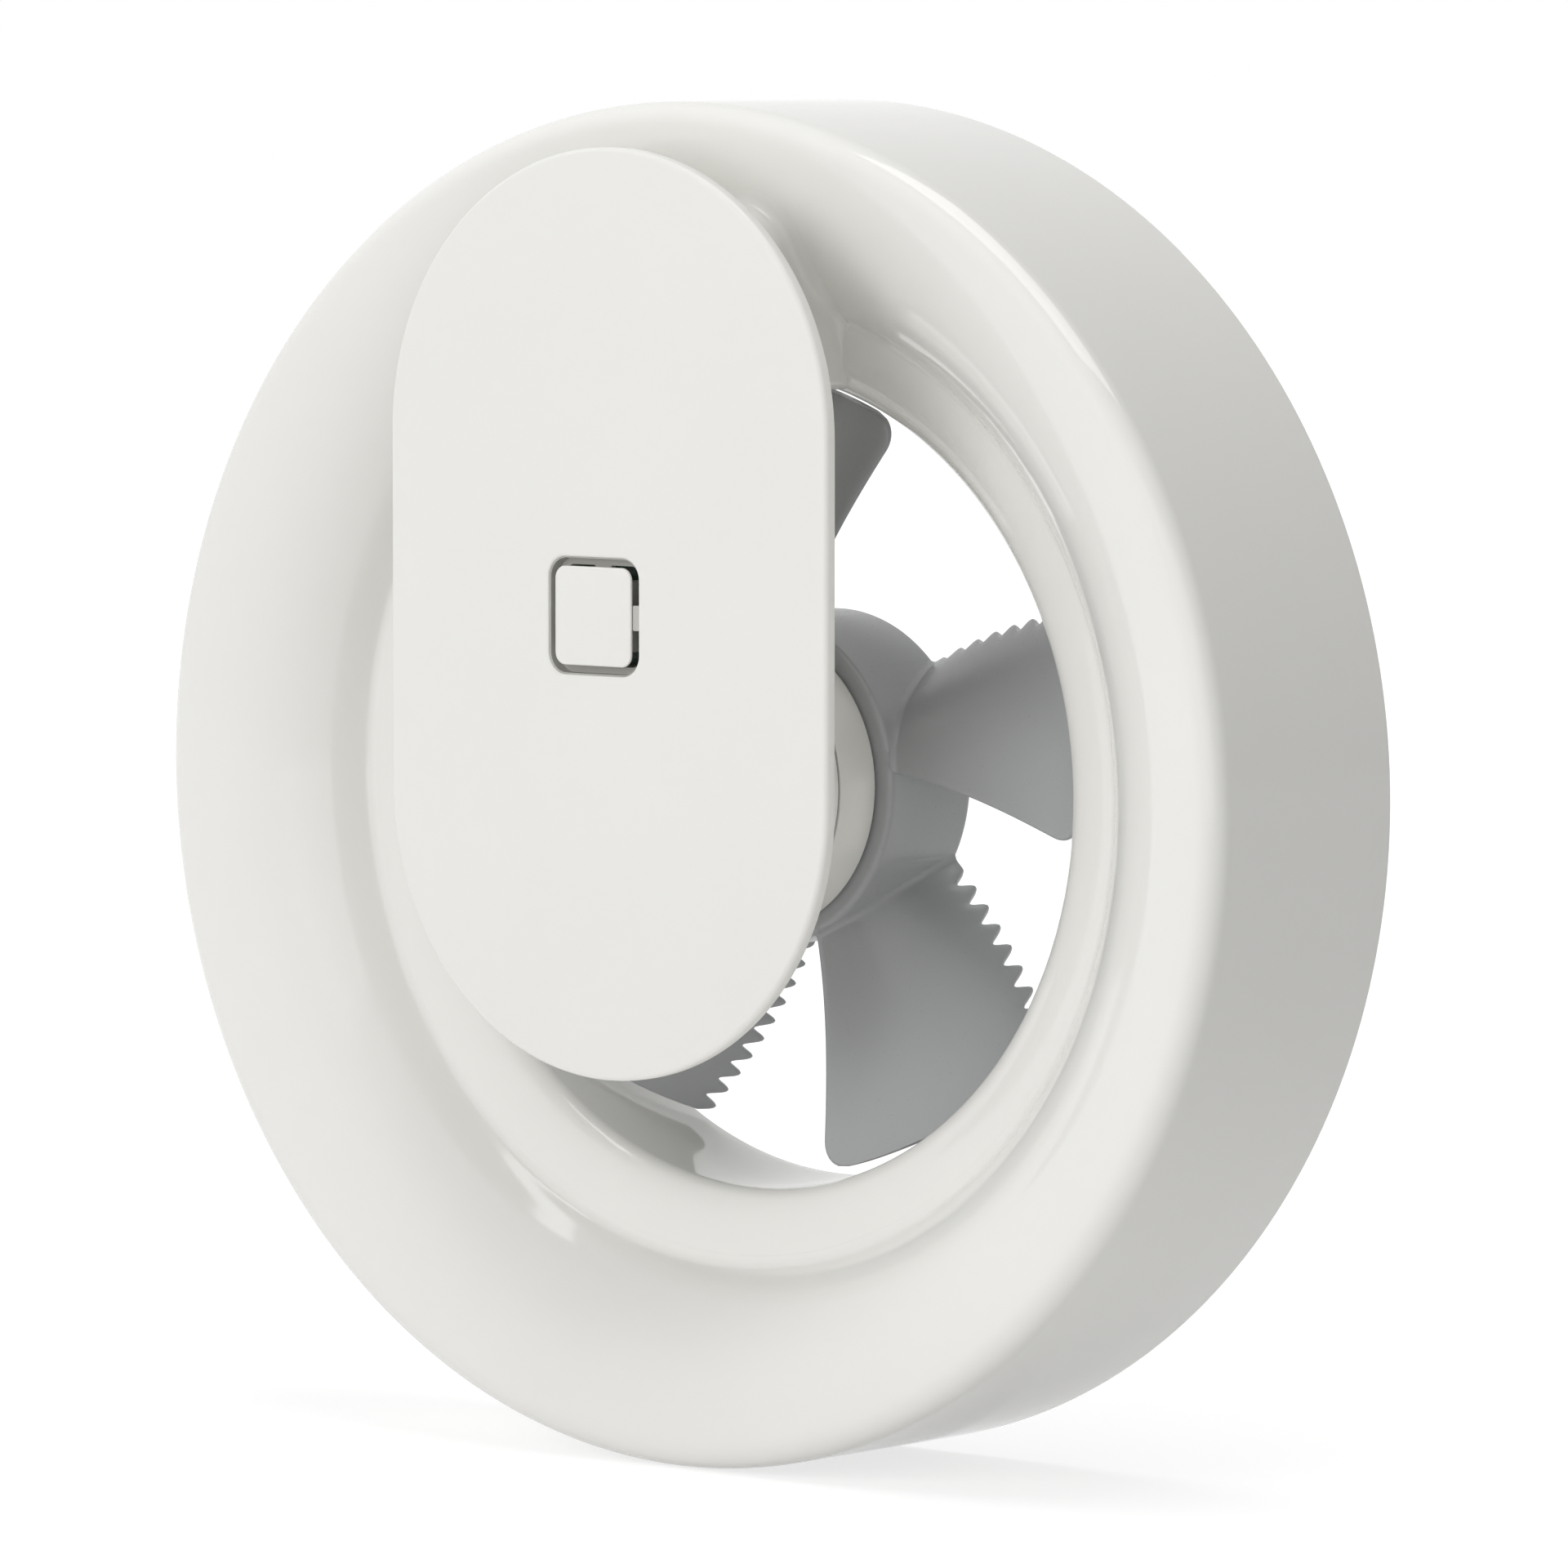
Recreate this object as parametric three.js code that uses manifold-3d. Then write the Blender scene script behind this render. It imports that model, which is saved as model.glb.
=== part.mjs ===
// Round axial exhaust fan, fixed by its flat back over an air hole in a wall or a window panel.
// Millimetres. +Z is up, the front faces -Y, and the fan turns about the Y axis.
// The origin is on that axis, in the plane of the flat back.

import * as THREE from 'three';
import { mergeVertices } from 'three/addons/utils/BufferGeometryUtils.js';
import Module from 'manifold-3d';

const wasm = await Module();
wasm.setup();

// ---------------------------------------------------------------- driving dimensions

const clearance = 0.3;            // gap between moulded pieces that fit into each other
const joinDepth = 0.5;            // how far shapes that are joined run into each other
const cutMargin = 1;              // how far a cutting shape runs past what it cuts

// Drum and rolled front
const drumRadius = 110;
const drumDepth = 45.5;           // from the flat back to the crest of the rolled front
const drumWall = 2.4;
const rimFillet = 4;              // round outer edge of the front
const creaseRadius = 78.6;        // where the rolled front ends at the bellmouth
const creaseDepth = 16;           // how far the crease lies behind the crest
const creaseFillet = 2;           // hollow round between the rolled front and its inner land
const landWidth = 1.8;            // narrow land inside the crease, up to the seam with the bellmouth
const seamGap = 0.1;              // hairline between the land and the bellmouth
const coverEdgeDepth = 2.2;       // depth of the inner edge of the rolled front
const snapCount = 4;
const snapWidth = 12;
const snapReach = 5;              // how far a snap stands in from the drum wall
const snapHeight = 14;

// Bellmouth and back plate
const boreRadius = 66.2;
const lipDepth = 5.8;             // axial depth of the bellmouth lip
const ductWall = 2.2;
const backPlateThickness = 2.5;
const gussetCount = 8;
const gussetThickness = 1.8;
const gussetReach = 7;
const gussetHeight = 16;
const gussetFirstAngle = 6;       // keeps the gussets clear of the screws, the inlet and the terminals
const screwCount = 4;
const screwMargin = 4.5;          // from the end of a screw slot to the foam strip
const slotWidth = 6.4;
const slotLength = 11;
const screwBossWall = 2;
const screwBossHeight = 4;
const inletRadius = 8;            // hole for the supply cable
const inletMargin = 2.2;          // from the grommet's flange to the foam strip
const inletAngle = 199.65;        // degrees from +X towards +Z

// Foam strip in the flat back
const sealSetback = 6.5;          // from the drum's skin to the middle of the strip
const sealWidth = 5;
const sealThickness = 1.6;

// Front plate
const plateHalfWidth = 45.5;
const plateHalfStraight = 28.9;
const plateCentreZ = 28.5;
const plateStandOff = 15.7;       // from the drum's crest to the front of the plate's edge
const plateDome = 3.1;
const plateThickness = 2.3;
const plateEdgeRadius = 0.9;
const skirtWall = 1.8;
const skirtRoot = 1.9;            // how far the skirt runs into the plate's thickness

// Push button
const openingSize = 18.8;
const openingCorner = 3.4;
const buttonGap = 1.5;
const buttonCorner = 2;
const buttonCapThickness = 1.6;
const buttonTravel = 1;
const buttonSkirtInset = 0.4;
const buttonSkirtWall = 1.2;
const buttonSkirtLength = 4;
const buttonHollowCorner = 0.2;
const buttonPostRadius = 2;
const buttonReserve = 0.2;        // left between button and switch at the end of its travel
const guideWall = 2.4;
const guideLedge = 0.35;          // slit left between the button and its guide frame
const guideGap = 0.15;            // between the frame and the back of the plate

// Neck and motor carrier
const neckHalfWidth = 22.5;
const neckTop = 93.5;
const neckBottom = 64;
const neckCorner = 8;
const neckWall = 2.6;
const neckBackDepth = 20.5;       // depth behind the crest at which the neck's foot ends
const neckFootCorner = 2;
const neckFillet = 4.5;
const neckFilletFrom = 68;        // the fillet grows from nothing here ...
const neckFilletTo = 80;          // ... to its full radius here
const neckRoot = 1.2;             // how far the neck runs into the rolled front's wall
const trayFrontStandOff = 12;     // from the crest forward to the tray's rim
const trayBackStandOff = 3;
const trayWall = 2;
const trayFloor = 2;
const postHalfWidth = 16;
const postHeight = 8;
const postWall = 2;
const postDrop = 2.5;              // from the top of the neck's hollow down to the post

// Motor cup
const cupRadius = 24.4;
const cupWall = 2;
const cupSeamDepth = 13.5;        // depth of the seam behind the crest
const cupBackDepth = 22.8;
const damperThickness = 0.5;
const damperInset = 0.3;          // how far the seam lies in from the cup's skin
const cupFloor = 2;
const cupBackEdge = 1.2;          // round back edge of the motor cup
const cupFlangeWidth = 4;
const cupFlangeThickness = 2;

// Motor
const pressFit = 0.05;            // drawn gap between pressed pieces
const bearingTubeRadius = 7;
const bearingTubeNose = 5;        // how far the tube stands in front of the cup's floor
const bearingTubeLength = 23;
const bearingRadius = 4.5;
const bearingLength = 4;
const bearingSeatLip = 1.5;       // radial lip that stops each bearing
const shaftRadius = 2;
const shaftPlay = 0.15;
const shaftNose = 1.8;            // length of shaft in front of the bearing tube
const clipThickness = 0.6;
const clipWidth = 1.5;
const clipSetback = 0.5;
const statorHeight = 9;
const statorLift = 4.4;           // from the cup's back face to the core
const statorCollarWidth = 2;
const coreRingWidth = 3.5;
const poleCount = 4;
const poleWidth = 7;
const poleShoeThickness = 2.4;
const poleShoeGap = 4;
const coilThickness = 2.6;
const coilPlay = 0.2;
const airGap = 0.6;
const magnetThickness = 2.6;
const magnetLength = 12;
const yokeThickness = 1.4;
const yokeMouthGap = 1.2;         // from the hub's front rim to the yoke's mouth
const yokeHoleRadius = 8;
const boardThickness = 1.6;
const motorBoardRadius = 20;
const motorBoardBore = 8;
const motorBoardLift = 2;
const motorPostCount = 3;
const motorPostRadius = 1.6;
const motorPostCircle = 15;

// Impeller
const hubRadius = 27;
const hubWall = 1.8;
const hubCornerRadius = 1.6;
const hubGap = 0.5;               // between the motor cup and the hub's front rim
const hubBackInset = 0.8;         // the hub ends this far in front of the flat back
const bladeCount = 5;
const tipClearance = 2;
const bladeThickness = 1.8;
const bladeEdgeThickness = 0.8;
const bladeEdgeLength = 1.2;      // over which a blade thins towards its front and rear edges
const bladeRootFillet = 0.9;
const bladeFrontAngle = -67.5;    // degrees, the front edge of the first blade at the hub
const bladeFrontLag = 12;         // degrees by which the front edge falls back at the tip
const bladeFrontBow = 1;          // and how far it bows back in between
const bladeRearAngle = -29.4;
const bladeRearLag = 14.6;
const bladeRearBow = 1;
const bladeCamber = 2.2;          // 1 is a plain screw surface; more turns the rear edge to the axis
const bladeFrontInset = 1.8;
const bladeBackInset = 0.4;
const bladeTipCorner = 5;
const toothPitch = 3.75;
const toothDepth = 2.8;
const toothStart = 2.2;           // from the hub to the first tooth's tip
const toothSamples = 4;
const hubBossRadius = 5;
const hubBossGap = 0.6;

// Electronics
const boardLift = 1.9;            // standoffs between tray floor and control board
const boardHalfWidth = 18.5;
const boardBottom = 2;
const boardTop = 88;
const boardCorner = 6;
const standOffRadius = 2;
const standOffX = 15;
const standOffHeights = [28, 82];
const switchBodySize = 6;
const switchBodyHeight = 3.3;
const plungerRadius = 1.6;
const plungerHeight = 0.6;
const powerModuleSize = new THREE.Vector3(22, 6, 15);
const powerModuleZ = 56;
const capacitorRadius = 3.6;
const capacitorHeight = 6.5;
const capacitorPlace = new THREE.Vector2(-14.5, 45);
const plugSize = new THREE.Vector3(12, 5, 6);
const plugZ = 6.5;
const terminalSize = new THREE.Vector3(13, 17, 26);
const terminalWays = 3;
const terminalEntry = 4;          // square mouth of each way
const terminalEntryDepth = 6;
const clampSize = new THREE.Vector3(20, 8.5, 4);
const clampGap = 1.4;             // from the grommet's flange to the clamp
const terminalGap = 2;            // from the clamp to the terminal block
const clampMouth = new THREE.Vector2(10, 5);
const grommetFlange = 2;
const grommetWall = 1.6;
const grommetBore = 4;
const grommetSetback = 0.4;       // the grommet ends this far inside the flat back

// Facets round a full circle
const largeFacets = 48;
const middleFacets = 32;
const smallFacets = 12;
const plateFacets = 40;

// ---------------------------------------------------------------- derived places

const degrees = THREE.MathUtils.degToRad;
const polar = (radius, angle) => new THREE.Vector2(
  radius * Math.cos(degrees(angle)), radius * Math.sin(degrees(angle)),
);
const crestY = -drumDepth;
const creaseY = crestY + creaseDepth;
const seamRadius = creaseRadius - landWidth;
const lipRadius = seamRadius - seamGap;
const lipBackY = creaseY + lipDepth;
const bulgeCentreR = drumRadius - rimFillet;
const bulgeRadius = ((bulgeCentreR - creaseRadius) ** 2 + creaseDepth ** 2) / (2 * creaseDepth);
const bulgeCentreY = crestY + bulgeRadius;
const creaseFilletY = creaseY - creaseFillet;
const creaseFilletR = bulgeCentreR
  - Math.sqrt((bulgeRadius + creaseFillet) ** 2 - (bulgeCentreY - creaseFilletY) ** 2);
const bulgeAngle = Math.asin((bulgeCentreR - creaseFilletR) / (bulgeRadius + creaseFillet));
const backPlateY = -backPlateThickness;
const backPlateRadius = drumRadius - drumWall - clearance;
const ductOuterRadius = boreRadius + ductWall;
const sealRadius = drumRadius - sealSetback;
const sealInnerRadius = sealRadius - sealWidth / 2;
const screwCircleRadius = sealInnerRadius - screwMargin - slotLength / 2;
const inletCircleRadius = sealInnerRadius - inletMargin - grommetWall - inletRadius;
const serviceRadius = (ductOuterRadius + drumRadius - drumWall) / 2;
const inletPlace = polar(inletCircleRadius, inletAngle);
const clampBottom = inletPlace.y + inletRadius + grommetWall + clampGap;
const terminalBottom = clampBottom + clampSize.z + terminalGap;

const plateEdgeY = crestY - plateStandOff;
const buttonFrontY = plateEdgeY - plateDome;
const buttonSize = openingSize - 2 * buttonGap;
const trayRimY = crestY - trayFrontStandOff;
const trayBackY = crestY - trayBackStandOff;
const trayFloorY = trayBackY - trayFloor;
const boardBackY = trayFloorY - boardLift;
const boardFrontY = boardBackY - boardThickness;
const plungerFrontY = boardFrontY - switchBodyHeight - plungerHeight;

const neckHollowTop = neckTop - neckWall;
const neckHollowBottom = neckBottom + neckWall;
const neckHollowHalf = neckHalfWidth - neckWall;
const postTop = neckHollowTop - postDrop;
const postBottom = postTop - postHeight;

const seamFrontY = crestY + cupSeamDepth - damperThickness / 2;
const seamBackY = seamFrontY + damperThickness;
const cupBackY = crestY + cupBackDepth;
const cupFloorY = cupBackY - cupFloor;
const bearingTubeFrontY = cupFloorY - bearingTubeNose;
const bearingTubeBackY = bearingTubeFrontY + bearingTubeLength;
const statorFrontY = cupBackY + statorLift;
const statorBackY = statorFrontY + statorHeight;

const hubFrontY = cupBackY + hubGap;
const hubBackY = -hubBackInset;
const hubFloorY = hubBackY - hubWall;
const yokeOuterRadius = hubRadius - hubWall - pressFit;
const magnetOuterRadius = yokeOuterRadius - yokeThickness - pressFit;
const magnetInnerRadius = magnetOuterRadius - magnetThickness;
const statorRadius = magnetInnerRadius - airGap;
const yokeFrontY = hubFrontY + yokeMouthGap;
const tipRadius = boreRadius - tipClearance;
const bladeFrontY = hubFrontY + bladeFrontInset;
const bladeBackY = hubBackY - bladeBackInset;

// ---------------------------------------------------------------- geometry helpers

// A closed geometry as a solid that can be joined and cut
function solid(geometry) {
  const bare = geometry.index ? geometry.clone() : geometry;
  bare.deleteAttribute('normal');
  bare.deleteAttribute('uv');
  const merged = mergeVertices(bare, 1e-4);
  const index = merged.index.array;
  const kept = [];
  for (let i = 0; i < index.length; i += 3) {
    const [a, b, c] = [index[i], index[i + 1], index[i + 2]];
    if (a !== b && b !== c && c !== a) kept.push(a, b, c);
  }
  return new wasm.Manifold(new wasm.Mesh({
    numProp: 3,
    vertProperties: new Float32Array(merged.attributes.position.array),
    triVerts: new Uint32Array(kept),
  }));
}

// A solid back as a geometry
function geometryOf(body) {
  const { vertProperties, triVerts } = body.getMesh();
  const geometry = new THREE.BufferGeometry();
  geometry.setAttribute('position', new THREE.BufferAttribute(new Float32Array(vertProperties), 3));
  geometry.setIndex(new THREE.BufferAttribute(new Uint32Array(triVerts), 1));
  geometry.computeVertexNormals();
  return geometry;
}

const joined = (bodies) => bodies.reduce((all, body) => all.add(body));
const cut = (body, tools) => tools.reduce((rest, tool) => rest.subtract(tool), body);
const steps = (count) => Array.from({ length: count }, (_, i) => i);

// Profile points are [radius, y]. They are put in the order that makes the faces point out, and a
// profile that touches the axis starts and ends there.
function latheProfile(points) {
  const vectors = points.map(([r, y]) => new THREE.Vector2(r, y));
  if (THREE.ShapeUtils.isClockWise(vectors)) vectors.reverse();
  if (!vectors.some((p) => p.x === 0)) return [...vectors, vectors[0].clone()];
  while (vectors[0].x !== 0 || vectors[vectors.length - 1].x !== 0) vectors.push(vectors.shift());
  return vectors;
}

// A ring or disc turned about the Y axis
function turned(points, facets = middleFacets) {
  return solid(new THREE.LatheGeometry(latheProfile(points), facets));
}

// The same, stretched along Z by a straight part at its waist: a pill
function pill(points, halfStraight, facets) {
  const geometry = new THREE.LatheGeometry(latheProfile(points), facets, Math.PI / facets);
  const place = geometry.attributes.position;
  const widen = 1 / Math.cos(Math.PI / facets);
  for (const i of steps(place.count)) {
    const z = place.getZ(i);
    const side = Math.abs(z) < 1e-9 ? 0 : Math.sign(z);
    place.setX(i, place.getX(i) * widen);
    place.setZ(i, z + side * halfStraight);
  }
  return solid(geometry);
}

// Points along an elliptical arc of a profile, from one angle to another
function arc(centreR, centreY, radiusR, radiusY, from, to, count) {
  return steps(count + 1).map((i) => {
    const angle = from + ((to - from) * i) / count;
    return [centreR + radiusR * Math.cos(angle), centreY + radiusY * Math.sin(angle)];
  });
}

// An outline drawn in X and Z, given depth along Y
function prism(shape, frontY, backY, curveSegments = 4) {
  const geometry = new THREE.ExtrudeGeometry(shape, {
    depth: backY - frontY, bevelEnabled: false, curveSegments,
  });
  geometry.rotateX(Math.PI / 2);
  geometry.translate(0, backY, 0);
  return solid(geometry);
}

function roundedRectangle(left, right, bottom, top, radius) {
  const shape = new THREE.Shape();
  shape.absarc(right - radius, bottom + radius, radius, -Math.PI / 2, 0);
  shape.absarc(right - radius, top - radius, radius, 0, Math.PI / 2);
  shape.absarc(left + radius, top - radius, radius, Math.PI / 2, Math.PI);
  shape.absarc(left + radius, bottom + radius, radius, Math.PI, 1.5 * Math.PI);
  shape.closePath();
  return shape;
}

function box(left, right, frontY, backY, bottom, top) {
  const geometry = new THREE.BoxGeometry(right - left, backY - frontY, top - bottom);
  geometry.translate((left + right) / 2, (frontY + backY) / 2, (bottom + top) / 2);
  return solid(geometry);
}

// A round bar along Y
function bar(radius, frontY, backY, facets = smallFacets, x = 0, z = 0) {
  const geometry = new THREE.CylinderGeometry(radius, radius, backY - frontY, facets);
  geometry.translate(x, (frontY + backY) / 2, z);
  return solid(geometry);
}

// A tube along Y
function tube(outer, inner, frontY, backY, facets = middleFacets) {
  return turned([[inner, frontY], [outer, frontY], [outer, backY], [inner, backY]], facets);
}

// Copies of a body set round the Y axis
function ringOf(count, body, firstAngle = 0) {
  return steps(count).map((i) => body.rotate([0, firstAngle + (360 / count) * i, 0]));
}

// A closed solid through rings of points that run counter-clockwise seen from the front
function loft(levels) {
  const ringSize = levels[0].length;
  const positions = levels.flat().flatMap((corner) => [corner.x, corner.y, corner.z]);
  const index = [];
  for (const level of steps(levels.length - 1)) {
    for (const i of steps(ringSize)) {
      const next = (i + 1) % ringSize;
      const [a, b] = [level * ringSize + i, level * ringSize + next];
      const [c, d] = [a + ringSize, b + ringSize];
      index.push(a, c, b, b, c, d);
    }
  }
  const outline = levels[0].map((corner) => new THREE.Vector2(corner.x, corner.z));
  const cap = THREE.ShapeUtils.triangulateShape(outline, []);
  const backStart = (levels.length - 1) * ringSize;
  for (const [a, b, c] of cap) {
    index.push(a, b, c);
    index.push(backStart + a, backStart + c, backStart + b);
  }
  const geometry = new THREE.BufferGeometry();
  geometry.setAttribute('position', new THREE.Float32BufferAttribute(positions, 3));
  geometry.setIndex(index);
  return solid(geometry);
}

// A closed solid through sections that each run once round the solid
function loftSections(rows) {
  const ringSize = rows[0].length;
  const positions = rows.flat().flatMap((corner) => [corner.x, corner.y, corner.z]);
  const index = [];
  for (const row of steps(rows.length - 1)) {
    for (const i of steps(ringSize)) {
      const next = (i + 1) % ringSize;
      const [a, b] = [row * ringSize + i, row * ringSize + next];
      index.push(a, a + ringSize, b, b, a + ringSize, b + ringSize);
    }
  }
  const lastStart = (rows.length - 1) * ringSize;
  const half = ringSize / 2;
  for (const i of steps(half - 1)) {
    const j = ringSize - 1 - i;
    index.push(i, i + 1, j, j, i + 1, j - 1);
    index.push(lastStart + i, lastStart + j, lastStart + i + 1);
    index.push(lastStart + j, lastStart + j - 1, lastStart + i + 1);
  }
  const geometry = new THREE.BufferGeometry();
  geometry.setAttribute('position', new THREE.Float32BufferAttribute(positions, 3));
  geometry.setIndex(index);
  return solid(geometry);
}

// ---------------------------------------------------------------- materials

const plastic = (color, roughness) => new THREE.MeshStandardMaterial({ color, roughness, metalness: 0 });
const metal = (color, roughness) => new THREE.MeshStandardMaterial({ color, roughness, metalness: 1 });

const materials = {
  glossWhite: plastic(0xeeede9, 0.22),
  satinWhite: plastic(0xecebe7, 0.45),
  cupWhite: plastic(0xdcdbd6, 0.4),
  fanGrey: plastic(0x929394, 0.5),
  frameGrey: plastic(0x8d8c88, 0.6),
  foam: plastic(0x3a3b3c, 0.95),
  rubber: plastic(0x2c2d2e, 0.8),
  boardGreen: plastic(0x1f5a3c, 0.5),
  blackPlastic: plastic(0x1f2021, 0.5),
  terminalCream: plastic(0xd9d5c8, 0.5),
  steel: metal(0xb9bbbd, 0.3),
  laminations: metal(0x8f9193, 0.5),
  copper: metal(0xb8703d, 0.35),
  magnetBlack: plastic(0x2d2c2b, 0.7),
};

const fan = new THREE.Group();

function piece(name, body, material, parent = fan) {
  const mesh = new THREE.Mesh(geometryOf(body), material);
  mesh.name = name;
  parent.add(mesh);
}

// ---------------------------------------------------------------- drum, rolled front and neck

// Y of the visible surface at a distance from the axis, over the rolled front and the bellmouth lip
function frontSurfaceY(radius) {
  const filletStart = bulgeCentreR - bulgeRadius * Math.sin(bulgeAngle);
  if (radius >= bulgeCentreR) return crestY;
  if (radius >= filletStart) {
    return bulgeCentreY - Math.sqrt(bulgeRadius ** 2 - (bulgeCentreR - radius) ** 2);
  }
  if (radius >= creaseFilletR) {
    return creaseFilletY + Math.sqrt(creaseFillet ** 2 - (radius - creaseFilletR) ** 2);
  }
  const inward = THREE.MathUtils.clamp((lipRadius - radius) / (lipRadius - boreRadius), 0, 1);
  return creaseY + lipDepth * (1 - Math.sqrt(1 - inward ** 2));
}

function drumShell() {
  const innerBulge = bulgeRadius - drumWall;
  const innerFillet = rimFillet - drumWall;
  const edgeBackY = creaseY + coverEdgeDepth;
  const innerAngle = Math.acos((bulgeCentreY - edgeBackY) / innerBulge);
  const quarter = Math.PI / 2;
  const filletY = crestY + rimFillet;
  return turned([
    [drumRadius, 0],
    ...arc(bulgeCentreR, filletY, rimFillet, rimFillet, 0, -quarter, 3),
    ...arc(bulgeCentreR, bulgeCentreY, bulgeRadius, bulgeRadius, -quarter, -quarter - bulgeAngle, 6).slice(1),
    ...arc(creaseFilletR, creaseFilletY, creaseFillet, creaseFillet, quarter - bulgeAngle, quarter, 2).slice(1),
    [seamRadius, creaseY],
    [seamRadius, edgeBackY],
    ...arc(bulgeCentreR, bulgeCentreY, innerBulge, innerBulge, -quarter - innerAngle, -quarter, 3),
    ...arc(bulgeCentreR, filletY, innerFillet, innerFillet, -quarter, 0, 1).slice(1),
    [drumRadius - drumWall, 0],
  ], largeFacets);
}

// The neck's outline in X and Z as points with their outward directions
function neckOutline() {
  const shape = new THREE.Shape();
  const footX = neckHalfWidth - neckFootCorner;
  const topX = neckHalfWidth - neckCorner;
  const footZ = neckBottom + neckFootCorner;
  const topZ = neckTop - neckCorner;
  shape.absarc(footX, footZ, neckFootCorner, -Math.PI / 2, 0);
  shape.lineTo(neckHalfWidth, (footZ + topZ) / 2);
  shape.absarc(topX, topZ, neckCorner, 0, Math.PI / 2);
  shape.lineTo(0, neckTop);
  shape.absarc(-topX, topZ, neckCorner, Math.PI / 2, Math.PI);
  shape.lineTo(-neckHalfWidth, (footZ + topZ) / 2);
  shape.absarc(-footX, footZ, neckFootCorner, Math.PI, 1.5 * Math.PI);
  const points = shape.getPoints(4);
  return points.map((point, i) => {
    const before = points[(i + points.length - 1) % points.length];
    const after = points[(i + 1) % points.length];
    const along = after.clone().sub(before).normalize();
    return { point, out: new THREE.Vector2(along.y, -along.x) };
  });
}

// The neck's skin. It runs out into the rolled front in a round fillet and ends at its foot over the bore.
function neckSkin() {
  const outline = neckOutline();
  const footY = crestY + neckBackDepth;
  const quarterSteps = 4;
  const levels = [outline.map(({ point }) => new THREE.Vector3(point.x, trayBackY, point.y))];
  for (const step of steps(quarterSteps + 1)) {
    const turn = (step / quarterSteps) * (Math.PI / 2);
    levels.push(outline.map(({ point, out }) => {
      const fillet = neckFillet * THREE.MathUtils.smoothstep(point.y, neckFilletFrom, neckFilletTo);
      const spread = fillet * (1 - Math.cos(turn));
      const x = point.x + out.x * spread;
      const z = point.y + out.y * spread;
      const surfaceY = Math.min(frontSurfaceY(Math.hypot(x, z)), footY);
      return new THREE.Vector3(x, surfaceY - fillet * (1 - Math.sin(turn)), z);
    }));
  }
  const last = levels[levels.length - 1];
  levels.push(last.map((corner) => corner.clone().setY(corner.y + neckRoot)));
  return loft(levels);
}

function frontRing() {
  const hollow = roundedRectangle(
    -neckHollowHalf, neckHollowHalf, neckHollowBottom, neckHollowTop, neckCorner - neckWall,
  );
  const innerWall = drumRadius - drumWall;
  const snap = box(innerWall - snapReach, innerWall + joinDepth, backPlateY - snapHeight, backPlateY,
    -snapWidth / 2, snapWidth / 2);
  const skin = joined([drumShell(), neckSkin(), ...ringOf(snapCount, snap)]);
  return cut(skin, [
    prism(hollow, trayBackY - cutMargin, cutMargin),
    turned(bellmouthSection(seamGap), largeFacets),
    turned(backPlateSection(clearance), largeFacets),
  ]);
}

// ---------------------------------------------------------------- bellmouth and back plate

// Section of the bellmouth and the bore, grown by a gap where the rolled front must stay clear
function bellmouthSection(gap) {
  const front = arc(lipRadius, lipBackY, lipRadius - boreRadius, lipDepth + gap, -Math.PI / 2, -Math.PI, 6);
  const back = arc(lipRadius, lipBackY, lipRadius - ductOuterRadius - gap, lipDepth - ductWall,
    -Math.PI, -Math.PI / 2, 3);
  return [
    [lipRadius + gap, creaseY - gap],
    ...front,
    [boreRadius, backPlateY],
    [ductOuterRadius + gap, backPlateY],
    ...back,
    [lipRadius + gap, creaseY + ductWall],
  ];
}

function backPlateSection(gap) {
  return [
    [boreRadius, backPlateY], [backPlateRadius + gap, backPlateY], [backPlateRadius + gap, 0], [boreRadius, 0],
  ];
}

function bellmouth() {
  const gusset = box(ductOuterRadius - joinDepth, ductOuterRadius + gussetReach, backPlateY - gussetHeight,
    backPlateY, -gussetThickness / 2, gussetThickness / 2);
  return joined([
    turned(bellmouthSection(0), largeFacets),
    ...ringOf(gussetCount, gusset, gussetFirstAngle),
  ]);
}

function backPlate() {
  const slot = (grow) => roundedRectangle(
    screwCircleRadius - slotLength / 2 - grow, screwCircleRadius + slotLength / 2 + grow,
    -slotWidth / 2 - grow, slotWidth / 2 + grow, slotWidth / 2 + grow - 0.01,
  );
  const bossFrontY = backPlateY - screwBossHeight;
  const boss = prism(slot(screwBossWall), bossFrontY, backPlateY + joinDepth);
  const hole = prism(slot(0), bossFrontY - cutMargin, cutMargin);
  const groove = tube(sealRadius + sealWidth / 2, sealInnerRadius, -sealThickness, cutMargin, largeFacets);
  const inlet = bar(inletRadius, backPlateY - cutMargin, cutMargin, smallFacets, inletPlace.x, inletPlace.y);
  const plate = joined([turned(backPlateSection(0), largeFacets), ...ringOf(screwCount, boss, 45)]);
  return cut(plate, [...ringOf(screwCount, hole, 45), groove, inlet]);
}

function rearSeal() {
  const inner = sealInnerRadius + pressFit;
  const outer = sealRadius + sealWidth / 2 - pressFit;
  return tube(outer, inner, -sealThickness, 0, largeFacets);
}

function cableGrommet() {
  const sleeve = inletRadius - pressFit;
  return turned([
    [grommetBore, backPlateY - grommetFlange],
    [inletRadius + grommetWall, backPlateY - grommetFlange],
    [inletRadius + grommetWall, backPlateY],
    [sleeve, backPlateY],
    [sleeve, -grommetSetback],
    [grommetBore, -grommetSetback],
  ], smallFacets).translate([inletPlace.x, 0, inletPlace.y]);
}

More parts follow.
